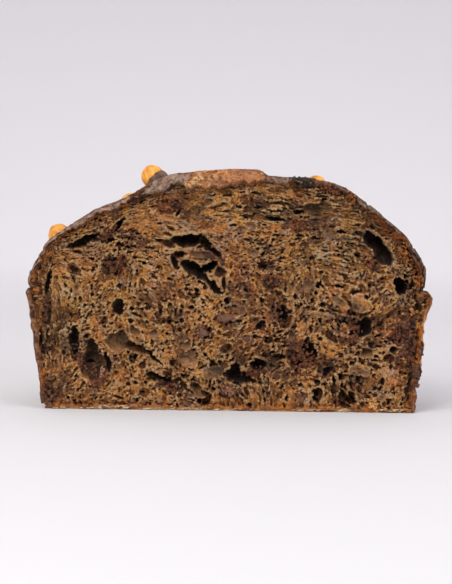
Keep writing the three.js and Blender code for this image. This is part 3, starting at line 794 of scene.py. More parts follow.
def paintCrumb():
    paint = Paint("open crumb")
    tint = paint.attribute("tint", "Color")
    gloss = paint.attribute("gloss")
    smoothness = paint.attribute("smoothness")
    fine = paint.noise(1.1 * mm, 5, 0.7)
    patch = paint.noise(9 * mm, 3, 0.6)
    speck = paint.noise(1.3 * mm, 4, 0.7, 0.5)
    grit = 1 - smoothness * 0.5
    base = paint.mix(fine.between(0.5, 0.62) * grit * 0.75, tint, colour("e6b87c"), "SOFT_LIGHT")
    base = paint.mix(speck.between(0.5, 0.6) * grit * 0.7, base, colour("6a4428"), "MULTIPLY")
    base = paint.mix(patch.between(0.5, 0.7) * 0.3, base, colour("8a5a3c"), "MULTIPLY")
    height = fine * (1 - smoothness * 0.55)
    return paint.finish({
        "Base Color": base,
        "Roughness": 0.74 - gloss * 0.3 - patch.between(0.45, 0.6) * 0.22,
        "Specular IOR Level": 0.42,
        "Normal": paint.bump(height, 1.6 * mm, 1.0),
    })


crumbPaint = paintCrumb()
crumbPlaces = makeCrumb()


# The crust: the glazed dome, the side that the paper case held, and the underside.
glaze = {
    "columns": 416,
    "rows": 184,
    "edgeRows": 20,
    # how far the crust reaches down the cut face: x, width
    "edge": [(-104, 1.1), (-98, 1.3), (-90, 1.4), (-84, 2.2), (-76, 3.0), (-66, 3.8), (-58, 3.8),
             (-50, 2.6), (-45, 2.8), (-41, 6.2), (-34, 6.6), (-27, 5.8), (-23, 6.8), (-18, 8.4),
             (-8, 9.6), (4, 9.0), (11, 7.6), (15, 6.0), (19, 3.8), (25, 3.6), (33, 2.6), (45, 1.6),
             (58, 1.6), (65, 2.6), (75, 2.4), (88, 1.9), (96, 1.5), (103, 1.2)],
    "thick": 2.2,
    "coat": 1.5,  # the glaze stands this much above the bare crust
    # where the glaze has flaked off: x, y, half length, half width, turn, strength
    "bare": [
        (-4, 6, 24, 10, 0, 1), (30, 30, 10, 6, 40, 1), (-60, 28, 9, 4, 60, 0.9),
        (66, 22, 10, 4, 100, 1), (-20, 58, 12, 5, 20, 0.9), (20, 64, 8, 6, 0, 0.9),
        (-46, 72, 9, 4, 130, 0.9), (74, 60, 8, 4, 140, 0.8), (0, 92, 10, 4, 0, 0.8),
        (-90, 36, 8, 3, 110, 0.9), (48, 80, 9, 4, 150, 0.8),
    ],
}
side = {
    "columns": 512,
    "rows": 104,
    "edgeColumns": 12,
    "round": 105,  # millimetres along the side for each radian of turn
    # how far the crust reaches in from the outline on the cut
    # face: height, width at the left end and at the right
    "edge": [(0, 3.4, 2.0), (8, 2.6, 2.0), (14, 1.8, 2.0), (22, 1.9, 1.5), (30, 2.3, 1.0), (45, 2.3, 0.9),
             (52, 2.2, 1.2), (58, 1.7, 1.5), (62, 1.3, 1.6)],
    "thick": 1.8,
    # lumps that stand out of the side close to the cut: which end, height, half height, how far out
    "lumps": [(1, 20.5, 4.5, 2.6), (1, 35, 2.6, 1.6), (1, 8, 2, 0.9), (-1, 6, 5, 1.2), (-1, 43, 4, 0.7)],
}
base = {"columns": 256, "rows": 64, "edgeRows": 4, "edge": 1.0, "thick": 1.3}
nutNames = [f"hazelnut_{number}" for number in range(1, nutCount + 1)]
nutCentres = [(np.array(sum(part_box(name), Vector())) / 2 - origin) / mm for name in nutNames]


def halfDisc(columns, rows):
    # a unit half disc as a patch: its straight edge in front, its round edge cut at 45 and 135 degrees
    def arc(start, end, count):
        angle = np.radians(np.linspace(start, end, count))
        return np.stack([np.cos(angle), np.sin(angle)], 1)

    front = np.stack([np.linspace(-1, 1, columns + 1), np.zeros(columns + 1)], 1)
    grid = coons(front, arc(135, 45, columns + 1), arc(180, 135, rows + 1), arc(0, 45, rows + 1))
    return np.arctan2(np.maximum(grid[..., 1], 0), grid[..., 0]), np.hypot(grid[..., 0], grid[..., 1])


def outwards(grid):
    # the direction that a surface faces: its step across times its step upwards, as a cross product
    facing = np.cross(np.gradient(grid, axis=1), np.gradient(grid, axis=0))
    return facing / np.maximum(np.linalg.norm(facing, axis=-1), 1e-9)[..., None]


def baldness(x, z):
    # 1 on the bare patch that shows on top at the cut, which ends in a round lip on the right
    lip = smooth(5.4 - np.hypot(np.maximum(x - 12.6, 0), (z - 121) * (x > 12.6)), -0.5, 0.5)
    ragged = 1.6 * noise((x, 0.0, z), 4, 3, 207)
    return smooth(x - 0.9 * (z - 119.5) + ragged, -24, -22.8) * lip


def fromLip(x, z):
    # distance from the middle of the round lip that ends the bare patch
    return np.hypot(np.maximum(x - 12.6, 0) * 0.95, 1.25 * (z - 121.6))


def pillow(x, z):
    # 1 on the smooth right end of the bare patch, falling off
    # roundly to its lip: the root of the distance to the lip
    return np.sqrt(np.clip((5.2 - fromLip(x, z)) / 3, 0, 1)) * smooth(x, -8, 2)


def cutEdge(path, steps):
    # rows of points on the cut face, from the crust's ragged lower edge up to its outline
    along = eased(np.gradient(path, axis=0), 9)
    inward = np.stack([along[:, 1], -along[:, 0]], 1) / np.linalg.norm(along, axis=1)[:, None]
    inward[0] = inward[-1] = (0, -1)
    places, widths = zip(*glaze["edge"])
    width = np.interp(path[:, 0], places, widths)
    width = width * (1 + 0.2 * noise((path[:, 0], 0.0, 0.0), 7, 3, 103))
    rows = []
    for share in np.linspace(1, 1 / steps, steps):
        ragged = 0.8 * share * noise((path[:, 0], 0.0, path[:, 1]), 2.6, 3, 105)
        rows.append(path + inward * np.maximum(width * share + ragged, 0.15 * share)[:, None])
    return np.stack(rows)


def domeSurface():
    # the dome's outlines carried round the loaf: the half disc's rim is the groove and its middle the top
    turn, reach = halfDisc(glaze["columns"], glaze["rows"])
    steps = 599
    rightPath, leftPath = (throughPoints(shape[name], steps + 1) for name in ("rightDome", "leftDome"))
    share = (1 - np.minimum(reach, 1)) * steps
    low = np.minimum(share.astype(int), steps - 1)
    part = (share - low)[..., None]
    right, left = (path[low] * (1 - part) + path[low + 1] * part for path in (rightPath, leftPath))
    return roundLoaf(right, left, turn), reach


def glazeRelief(grid):
    # height above the bare crust: a coat where glaze is left, less its cracks, plus grain and slow swells
    x, y, z = place = tuple(grid[..., axis] for axis in range(3))
    warpX = 3 * noise(place, 14, 3, 111)
    warpY = 3 * noise(place, 14, 3, 112)
    bare = np.zeros_like(x)
    for inside, blob in insideBlobs(x + warpX, y + warpY, glaze["bare"], 121):
        bare = np.maximum(bare, blob[5] * smooth(inside, -0.1, 0.15))
    bare = np.maximum(bare, smooth(noise(place, 26, 4, 131), 0.62, 0.74))
    coat = 1 - bare
    moved = (x + warpX, y + warpY, z)
    large = cracks(moved, 24, 141)
    small = cracks((x + 0.6 * warpX, y + 0.6 * warpY, z), 8, 151)
    fine = 0.45 * (1 - smooth(small, 0.01, 0.09)) * smooth(noise(place, 20, 2, 161), -0.1, 0.5)
    split = np.minimum(1 - smooth(large, 0.015, 0.07) + fine, 1) * coat
    grain = noise(place, 2.6, 4, 171)
    swell = noise(place, 30, 2, 181) * smooth(y, 0, 25)
    wrinkle = np.abs(noise((x, 2.2 * y, 2.2 * z), 5, 3, 191))
    height = glaze["coat"] * coat * (1 - 0.75 * split) + 0.22 * grain + 1.1 * swell
    height = height - bare * 0.5 * wrinkle
    return height, coat, split, grain, wrinkle


def edgeRelief(x, z, down, bald, gaps):
    # how far the crust's edge on the cut stands in front of
    # the knife's plane, as a negative y, or behind it
    rough = noise((x, 3.0, z), 2.6, 4, 106)
    stands = 1.3 + 1.2 * np.exp(-((x + 31) / 9) ** 4) + 0.7 * bald
    front = 0.5 * rough - stands * smooth(down, 0, 0.8) * (1 - smooth(down, 0.8, 1))
    front = front + (1 - bald) * 0.9 * gaps + 0.9 * down ** 6
    front = front + bald * 1.5 * np.abs(noise((0.6 * x, 3.0, z), 4, 4, 108))
    front = front + 0.8 * np.abs(noise((x, 3.0, 1.6 * z), 1.8, 3, 109)) * (1 - 0.6 * pillow(x, z))
    front = front - 2.2 * pillow(x, z)
    crease = np.exp(-((z - 118.2 + 0.06 * x + 0.5 * rough) / 0.55) ** 2)
    front = front + bald * 1.6 * crease * smooth(-x, -12, 4)
    return front * smooth(down, 0, 0.1)


def edgeTint(x, z, down, bald, gaps):
    # on the cut: glaze above, dark baked crumb below it, and the orange-brown bare patch
    cut = (x, 3.0, z)
    fleck = noise(cut, 8, 4, 202)
    grain = noise(cut, 1.8, 3, 203)
    glazed = blend("a88f7d", "927969", smooth(fleck + 0.4 * grain, -0.7, 0.8))
    # painted highlights on the grain of the thick plate of glaze
    glazed = blend(glazed, "c2a896", 0.4 * np.exp(-((x + 29) / 10) ** 4) * smooth(grain, -0.5, 0.5))
    glazed = glazed * (1 - 0.3 * smooth(x, 12, 20) * (1 - smooth(x, 50, 70)))[..., None]
    glazed = blend(glazed, "3a271d", 0.7 * smooth(gaps + 0.4 * grain, 0.5, 1.2))
    lower = blend("8a5230", "2a1810", smooth(grain + fleck, -0.6, 0.7))
    plate = 0.35 * np.exp(-((x + 31) / 10.5) ** 4)  # a thick plate of glaze reaches further down
    tint = blend(glazed, lower, smooth(down - plate + 0.3 * fleck + 0.25 * grain, 0.5, 0.85))
    bare = blend("c88a55", "8f5a36", smooth(fleck + 0.5 * grain, -0.7, 0.8))
    # painted highlights on the bare patch's grain, more of them towards the left
    bare = blend(bare, "f0c48a", 0.75 * smooth(grain - 0.02 * x, 0.0, 0.9))
    bare = blend(bare, "8a5744", 0.6 * smooth(noise(cut, 7, 3, 205), 0.0, 0.6))
    bare = blend(bare, "4c2a1a", 0.8 * smooth(noise((x, 3.0, 1.5 * z), 2.6, 3, 208), 0.45, 0.85))
    bare = blend(bare, "5a2f1c", 0.8 * np.exp(-((x - 7) / 3.4) ** 2 - ((z - 120.2) / 1.0) ** 2))
    bare = blend(bare, "4a2816", 0.7 * smooth(down + 0.2 * grain, 0.86, 1.0))
    bare = blend(bare, "c08658", 0.55 * pillow(x, z))
    # painted shadow in a thin line just past the lip of the bare patch
    beyond = fromLip(x, z) - 5.3
    tint = blend(tint, "2e1a12", 0.85 * np.exp(-(beyond / 0.7) ** 2) * smooth(x, 2, 8))
    tint = blend(tint, bare, bald)
    # painted shade over the right part of the cut edge, away from the key lamp
    return tint * (1 - 0.35 * smooth(x, 50, 66))[..., None]


def domeTint(place, coat, split, grain, wrinkle):
    # grey-brown glaze, dark in its cracks and at its broken rims, on orange-brown crust
    fleck = noise(tuple(np.moveaxis(place, -1, 0)), 9, 4, 201)
    glazed = blend("8b6f5f", "6d5446", smooth(fleck, -0.7, 0.8))
    glazed = blend(glazed, "a08878", 0.6 * smooth(grain, 0.35, 1.1))
    glazed = blend(glazed, "4a342a", 0.55 * smooth(-grain, 0.4, 1.2))
    bare = blend("b0703f", "743f22", smooth(fleck + 0.8 * wrinkle, -0.2, 1.2))
    rimmed = coat * (1 - coat) * 4
    return blend(blend(bare, glazed, coat), "35231a", np.clip(0.9 * split + 0.7 * rimmed, 0, 1))


def makeDome():
    place, reach = domeSurface()
    height, coat, split, grain, wrinkle = glazeRelief(place)
    for centre in nutCentres:  # glaze climbs a little way up each nut
        gap = np.linalg.norm(place - centre, axis=-1)
        height = height + 1.5 * np.exp(-np.maximum(gap - 5.0, 0) / 1.6)
    x, y = place[..., 0], place[..., 1]
    swollen = np.exp(-((x + 3) / 20) ** 8 - (y / 11) ** 2)
    height = height * smooth(1 - reach, 0.0, 0.02) - glaze["coat"] * (1 - swollen * (1 - coat))
    surface = place + outwards(place) * height[..., None]
    surface[..., 2] = np.maximum(surface[..., 2], 60)

    edge = cutEdge(surface[0][:, [0, 2]], glaze["edgeRows"])
    edge = np.stack([edge[..., 0], 0 * edge[..., 0], edge[..., 1]], -1)
    surface[0, :, 1] = 0
    band = np.concatenate([edge, surface[:1]])
    down = np.linspace(1, 0, glaze["edgeRows"] + 1)[:, None]
    x, z = band[..., 0], band[..., 2]
    bald = baldness(x, z)
    rough = noise((x, 3.0, z), 2.6, 4, 106)
    gaps = 1 - smooth(cracks((x + 1.5 * rough, 3.0 * x, 1.4 * z), 7, 107), 0.02, 0.12)
    band[..., 1] = edgeRelief(x, z, down, bald, gaps)
    surface = np.concatenate([band, surface[1:]])
    fading = np.exp(-np.maximum(surface[..., 1], 0) / 9)
    surface[..., 1] += leanBack(surface[..., 0], surface[..., 2]) * fading

    behind = domeTint(place, coat, split, grain, wrinkle)[1:]
    tint = np.concatenate([edgeTint(x, z, down, bald, gaps), behind])
    gloss = np.concatenate([0.3 * bald, 0.5 * (1 - coat[1:])])
    rawEdge = 0.35 + 0.65 * np.maximum(bald, smooth(down, 0.4, 0.8))
    raw = np.concatenate([rawEdge, 0.2 + 0.5 * (1 - coat[1:])])
    # the rows along the cut stay where they are, and only the dome behind them is moved inwards
    rows = glaze["edgeRows"] + 1
    inner = surface - outwards(surface) * glaze["thick"]
    inner[:rows] = surface[0]
    inner[:rows, :, 1] += 0.8 + 0.15 * np.arange(rows)[:, None]
    finishShell("glazed_dome", surface, inner, tint, gloss, raw)


def finishShell(name, surface, inner, tint, gloss, raw):
    # the inner side shows nowhere, so it is coarser: one point for every four of the outer side
    step = 4
    values = {"gloss": gloss, "raw": raw}
    paint = paintCrust(name.replace("_", " "))
    closedShell(name, surface, inner[::step, ::step], step, paint, values, tint)


def paintCrust(name):
    paint = Paint(name)
    tint = paint.attribute("tint", "Color")
    gloss = paint.attribute("gloss")
    raw = paint.attribute("raw")
    fine = paint.noise(0.8 * mm, 4, 0.7)
    patch = paint.noise(5 * mm, 3, 0.6)
    speck = paint.noise(1.5 * mm, 5, 0.75, 0.6)
    lighter = paint.mix(fine.between(0.35, 0.75) * 0.8, tint, colour("b09a88"), "SOFT_LIGHT")
    tone = paint.mix(patch.between(0.4, 0.7) * 0.25, lighter, colour("6b4a38"), "MULTIPLY")
    tone = paint.mix(speck.between(0.5, 0.6) * raw * 0.8, tone, colour("6a442c"), "MULTIPLY")
    # painted glints where the speck noise is low, on the raw crust
    tone = paint.mix((1 - speck).between(0.53, 0.65) * raw * 0.6, tone, colour("f0d0a0"), "SOFT_LIGHT")
    return paint.finish({
        "Base Color": tone,
        "Roughness": 0.85 - gloss * 0.35 - fine * 0.1,
        "Specular IOR Level": 0.35,
        "Normal": paint.bump((fine + patch * 0.6) * (0.35 + raw) + speck * raw, 1.0 * mm, 0.6),
    })


makeDome()


def cutRelief(x, z, down):
    # how far the broken edge of the crust stands in front
    # of the knife's plane, or behind it where it is torn
    rough = noise((x, 3.0, z), 2.4, 4, 102)
    swell = np.sin(math.pi * np.clip(0.9 * down + 0.1, 0, 1)) ** 0.5
    fine = np.abs(noise((x, 3.0, z), 1.5, 3, 104))
    return (0.6 * rough + 0.6 * fine - 0.5 * swell + 0.9 * down ** 4) * smooth(down, 0, 0.1)


def sideSurface():
    # rows up the baked side, columns round it from the right end of the cut to the left end
    rows, columns = side["rows"] + 1, side["columns"] + 1 - 2 * side["edgeColumns"]
    right, left = (throughPoints(shape[name], rows)[:, None] for name in ("rightWall", "leftWall"))
    turn = np.broadcast_to(np.linspace(0, math.pi, columns), (rows, columns))
    return roundLoaf(right, left, turn), turn


def sideRelief(grid, turn):
    # soft pleats and crumples that the paper case left, pits where air met the paper, and a torn rim
    x, y, z = place = tuple(grid[..., axis] for axis in range(3))
    alongSide = side["round"] * turn
    pleat = np.abs(softNoise((alongSide, 3.0, z / 9), 6.5, 211)) ** 0.7
    pleat = pleat + 0.5 * np.abs(softNoise((alongSide, 7.0, z / 5), 2.8, 212))
    grain = noise(place, 2.0, 3, 231)
    pits = throughCells(x, y, 0 * x, 5.5, 0.4, 0.16, 0.34, 1.0, 241)
    pits = np.minimum(pits, 1.6) * smooth(noise(place, 18, 2, 251), -0.5, 0.4)
    rim = smooth(z, 56, 61)
    height = 0.5 * pleat + 0.55 * noise(place, 13, 4, 221) + 0.2 * grain - 0.6 * pits
    height = height + rim * 0.6 * noise(place, 4, 3, 261)
    fromCut = np.minimum(alongSide, side["round"] * math.pi - alongSide)
    for end, middle, half, out in side["lumps"]:
        close = (x * end > 0) * np.exp(-(fromCut / 4) ** 2 - ((z - middle) / half) ** 2)
        height = height + out * close * (0.7 + 0.6 * noise(place, 3, 2, 271))
    height = height + np.exp(-(fromCut / 5) ** 2) * (0.5 * noise((3.0, y, z), 3.5, 4, 272) - 0.2)
    return height, pleat, grain, pits


def sideTint(place, fleck, pleat, grain, pits):
    # baked brown with darker pits and rim; on the cut it is
    # dark on the left and a pale peeled skin on the right
    x, y, z = place
    tint = blend("7c4c2c", "4b2c1c", smooth(fleck - 0.3 * pleat, -0.7, 0.7))
    tint = blend(tint, "a3672f", 0.7 * smooth(noise(place, 24, 3, 291), 0.1, 0.8))
    tint = blend(tint, "2e1a11", 0.8 * smooth(pits, 0.3, 1.4))
    tint = blend(tint, "b5804c", 0.55 * smooth(grain, 0.45, 1.1))
    tint = blend(tint, "4a3022", 0.7 * smooth(z, 55, 60))
    tint = blend(tint, "9b5c2c", 0.6 * (1 - smooth(z, 1.5, 7)))
    grit = noise(place, 2.2, 4, 285)
    left = blend("946a4a", "43291f", smooth(grit + 0.5 * fleck, -0.7, 0.6))
    left = blend(left, "b3682c", 0.7 * np.exp(-((z - 15) / 7) ** 2) * smooth(grit, -0.4, 0.5))
    right = blend("d29a62", "8a4f2a", smooth(grit + 0.5 * fleck, -0.6, 0.7))
    right = blend(right, "5d382a", (1 - smooth(z, 22, 27)) * smooth(z, 9, 14))
    right = blend(right, "7d5434", 0.7 * (1 - smooth(z, 9, 14)))
    return blend(tint, np.where((x < 0)[..., None], left, right), 1 - smooth(y, 0.8, 3.5))


def makeSide():
    place, turn = sideSurface()
    height, pleat, grain, pits = sideRelief(place, turn)
    onFloor = smooth(place[..., 2], 0.2, 3)
    surface = place + outwards(place) * (height * onFloor)[..., None]
    surface[..., 2] = np.maximum(surface[..., 2], 0.02)
    edges = []
    heights, leftWidths, rightWidths = zip(*side["edge"])
    for column, sign, widths in ((0, -1, rightWidths), (-1, 1, leftWidths)):
        surface[:, column, 1] = 0
        outline = surface[:, column]
        width = np.interp(outline[:, 2], heights, widths)
        ragged = noise((sign * 9.0, 0.0, outline[:, 2]), 2.4, 4, 101)
        share = np.linspace(1, 1 / side["edgeColumns"], side["edgeColumns"])
        columns = np.repeat(outline[:, None], side["edgeColumns"], 1)
        reach = (width + 0.7 * ragged)[:, None] * share
        columns[..., 0] += sign * np.maximum(reach, 0.1 * share)
        columns[..., 1] = cutRelief(columns[..., 0], columns[..., 2], share[None])
        surface[:, column, 0] += sign * 0.5 * np.maximum(ragged, 0) * smooth(outline[:, 2], 1, 4)
        edges.append(columns if column == 0 else columns[:, ::-1])
    surface = np.concatenate([edges[0], surface, edges[1]], 1)

    place = tuple(surface[..., axis] for axis in range(3))
    beside = ((0, 0), (side["edgeColumns"], side["edgeColumns"]))
    pleat, grain, pits = (np.pad(value, beside, "edge") for value in (pleat, grain, pits))
    fleck = noise(place, 11, 5, 281)
    tint = sideTint(place, fleck, pleat, grain, pits)
    inner = surface - outwards(surface) * side["thick"]
    count = side["edgeColumns"]
    inner[:, :count + 1] = surface[:, :1]
    inner[:, :count + 1, 1] += 0.8 + 0.15 * np.arange(count + 1)
    inner[:, -count - 1:] = surface[:, -1:]
    inner[:, -count - 1:, 1] += 0.8 + 0.15 * np.arange(count, -1, -1)
    inner[..., 2] = np.clip(inner[..., 2], 0.4, 62)
    raw = 0.3 + 0.7 * (1 - smooth(place[1], 0.8, 3.5))
    finishShell("baked_side", surface, inner, tint, 0.35 * smooth(fleck, -0.2, 0.8), raw)


makeSide()


def makeBase():
    # the underside faces down, so its rows run from the
    # back to the cut, and then up the cut for a little way
    turn, reach = halfDisc(base["columns"], base["rows"])
    rightPath, leftPath = shape["rightWall"][0][0] + 0.8, shape["leftWall"][0][0] + 0.8
    radius = rightPath + (leftPath - rightPath) * (1 - np.cos(turn)) / 2
    x, y = reach * radius * np.cos(turn), roundness * reach * radius * np.sin(turn)
    lift = 0.25 * smooth(noise((x, y, 0.0), 9, 4, 301), 0.0, 0.9)
    surface = np.stack([x, y, lift], -1)[::-1]
    front = surface[-1].copy()
    rows = []
    for step in range(1, base["edgeRows"] + 1):
        row = front.copy()
        row[:, 2] += base["edge"] * step / base["edgeRows"]
        row[:, 1] = 0.5 * noise((row[:, 0], 9.0 + step, row[:, 2]), 2.6, 3, 311)
        rows.append(row)
    surface[-1, :, 1] = 0.5 * noise((front[:, 0], 9.0, front[:, 2]), 2.6, 3, 311) - 0.2
    surface = np.concatenate([surface, np.stack(rows)])
    z, place = surface[..., 2], tuple(surface[..., axis] for axis in range(3))
    fleck = noise(place, 10, 5, 321)
    tint = blend("8f5a30", "c69a62", smooth(fleck, -0.2, 0.9))
    tint = blend(tint, "f0dcb4", 0.8 * smooth(noise(place, 15, 4, 331), 0.1, 0.6))
    tint = blend(tint, "6e3f20", 0.8 * smooth(z, 0.3, 0.8) * smooth(noise(place, 4, 3, 341), -0.6, 0.3))
    inner = surface + np.array([0, 0, base["thick"]])
    count = base["edgeRows"]
    inner[-count - 1:] = surface[-1:]
    inner[-count - 1:, :, 1] += 0.4 + 0.2 * np.arange(count, -1, -1)[:, None]
    finishShell("underside", surface, inner, tint, 0 * z, smooth(z, 0.1, 0.5))


makeBase()


# Hazelnuts, one for each nut of the frame.
hazelnut = {
    "rings": 40,
    "segments": 56,
    # the direction that each nut's point leans, as turn and rise in degrees
    "points": [(200, 40), (150, 20), (160, 65), (250, 55), (30, 50), (120, 35), (300, 60), (80, 25),
               (10, 50), (45, 30), (220, 45)],
}


def hazelnutPiece(number):
    # a ball whose radius = size * (1 - flat end + pointed end + low ribs), turned so that its point leans
    low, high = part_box(f"hazelnut_{number}")
    centre = (np.array((low + high) / 2) - origin) / mm
    size = max(high - low) / mm / 2 - 0.05
    tilt, around, faces = ball(hazelnut["rings"], hazelnut["segments"])
    tip = np.exp(-(tilt / 0.32) ** 2)
    blunt = np.exp(-((math.pi - tilt) / 0.62) ** 2)
    rib = 0.014 * np.sin(3 * around + number) + 0.008 * np.sin(7 * around + 2 * number)
    nut = onBall(tilt, around) * (0.985 + 0.07 * tip - 0.13 * blunt + rib * np.sin(tilt))[:, None]
    dent = 0.018 * noise(tuple(nut.T + 3.0 * number), 0.7, 3, 401)
    nut = nut * (1 + dent)[:, None]
    turn, rise = np.radians(hazelnut["points"][number - 1])
    up = np.array([math.cos(turn) * math.cos(rise), math.sin(turn) * math.cos(rise), math.sin(rise)])
    across = np.cross([0.0, 0.0, 1.0], up) / math.cos(rise)
    points = centre + size * (nut @ np.stack([across, np.cross(up, across), up]))
    streak = np.sin(9 * around + number) * np.sin(tilt)
    values = {"ends": tip - blunt, "streak": streak}
    makePiece(f"roasted_hazelnut_{number}", points, faces, hazelnutPaint, values,
              node=f"hazelnut_{number}")


def paintHazelnut():
    paint = Paint("roasted hazelnut")
    ends = paint.attribute("ends")
    streak = paint.attribute("streak")
    blotch = paint.noise(3.2 * mm, 4, 0.6)
    fine = paint.noise(0.5 * mm, 3, 0.6)
    gold = paint.mix(blotch.between(0.4, 0.7), colour("f2a830"), colour("c4721f"))
    gold = paint.mix(streak.between(0.2, 1.0) * 0.4, gold, colour("ffd578"))
    gold = paint.mix(ends.between(0.3, 1.0) * 0.7, gold, colour("8a4f22"))
    gold = paint.mix((ends * -1.0).between(0.5, 1.0) * 0.6, gold, colour("e6c592"))
    gold = paint.mix(fine.between(0.62, 0.72) * 0.5, gold, colour("9a5a22"))
    return paint.finish({
        "Base Color": gold,
        "Roughness": 0.38 + blotch * 0.15,
        "Specular IOR Level": 0.5,
        "Normal": paint.bump(fine + blotch, 0.12 * mm, 0.4),
    })


hazelnutPaint = paintHazelnut()
for number in range(1, nutCount + 1):
    hazelnutPiece(number)


# Chocolate pieces that the knife cut through.
chocolateChips = {
    "rings": 22,
    "segments": 48,
    # how ragged each outline is, its lobes, and their turn
    "ragged": [(0.16, 2, 0.6), (0.22, 3, 1.9), (0.12, 3, 0.2)],
}


def chipPiece(number):
    # rings from the middle of the flat cut side to its edge and back in behind: x and z follow
    # the ragged outline, scaled by the sine of the ring, and the depth is a steep rounded step
    low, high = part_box(f"chocolate_chip_{number}")
    low, high = ((np.array(corner) - origin) / mm for corner in (low, high))
    middle, half = (low + high) / 2, (high - low) / 2
    ring, around, faces = ball(chocolateChips["rings"], chocolateChips["segments"])
    amount, lobes, turn = chocolateChips["ragged"][number - 1]
    ragged = 1 + amount * np.sin(lobes * around + turn) + 0.5 * amount * np.sin(5 * around + 2 * turn)
    reach = np.sin(ring) ** 0.55 * ragged / (1 + 0.8 * amount)
    x = middle[0] + half[0] * reach * np.cos(around)
    z = middle[2] + half[2] * reach * np.sin(around)
    y = middle[1] - half[1] * np.sign(np.cos(ring)) * np.abs(np.cos(ring)) ** 0.4
    y = y + 0.12 * noise((x, y, z), 1.4, 3, 411) * np.sin(ring) ** 0.2 + 0.05
    faces = [face[:, ::-1] for face in faces]
    makePiece(f"cut_chocolate_{number}", np.stack([x, y, z], -1), faces, chocolatePaint,
              node=f"chocolate_chip_{number}")


def paintChocolate():
    paint = Paint("cut chocolate")
    cloud = paint.noise(2.5 * mm, 4, 0.6)
    fine = paint.noise(0.35 * mm, 3, 0.6)
    brown = paint.mix(cloud.between(0.4, 0.65), colour("6a4029"), colour("46291a"))
    brown = paint.mix(fine.between(0.55, 0.7) * 0.5, brown, colour("865a42"))
    return paint.finish({
        "Base Color": brown,
        "Roughness": 0.5 + cloud * 0.15,
        "Normal": paint.bump(fine + cloud, 0.35 * mm, 0.8),
    })


chocolatePaint = paintChocolate()
for number in range(1, chipCount + 1):
    chipPiece(number)


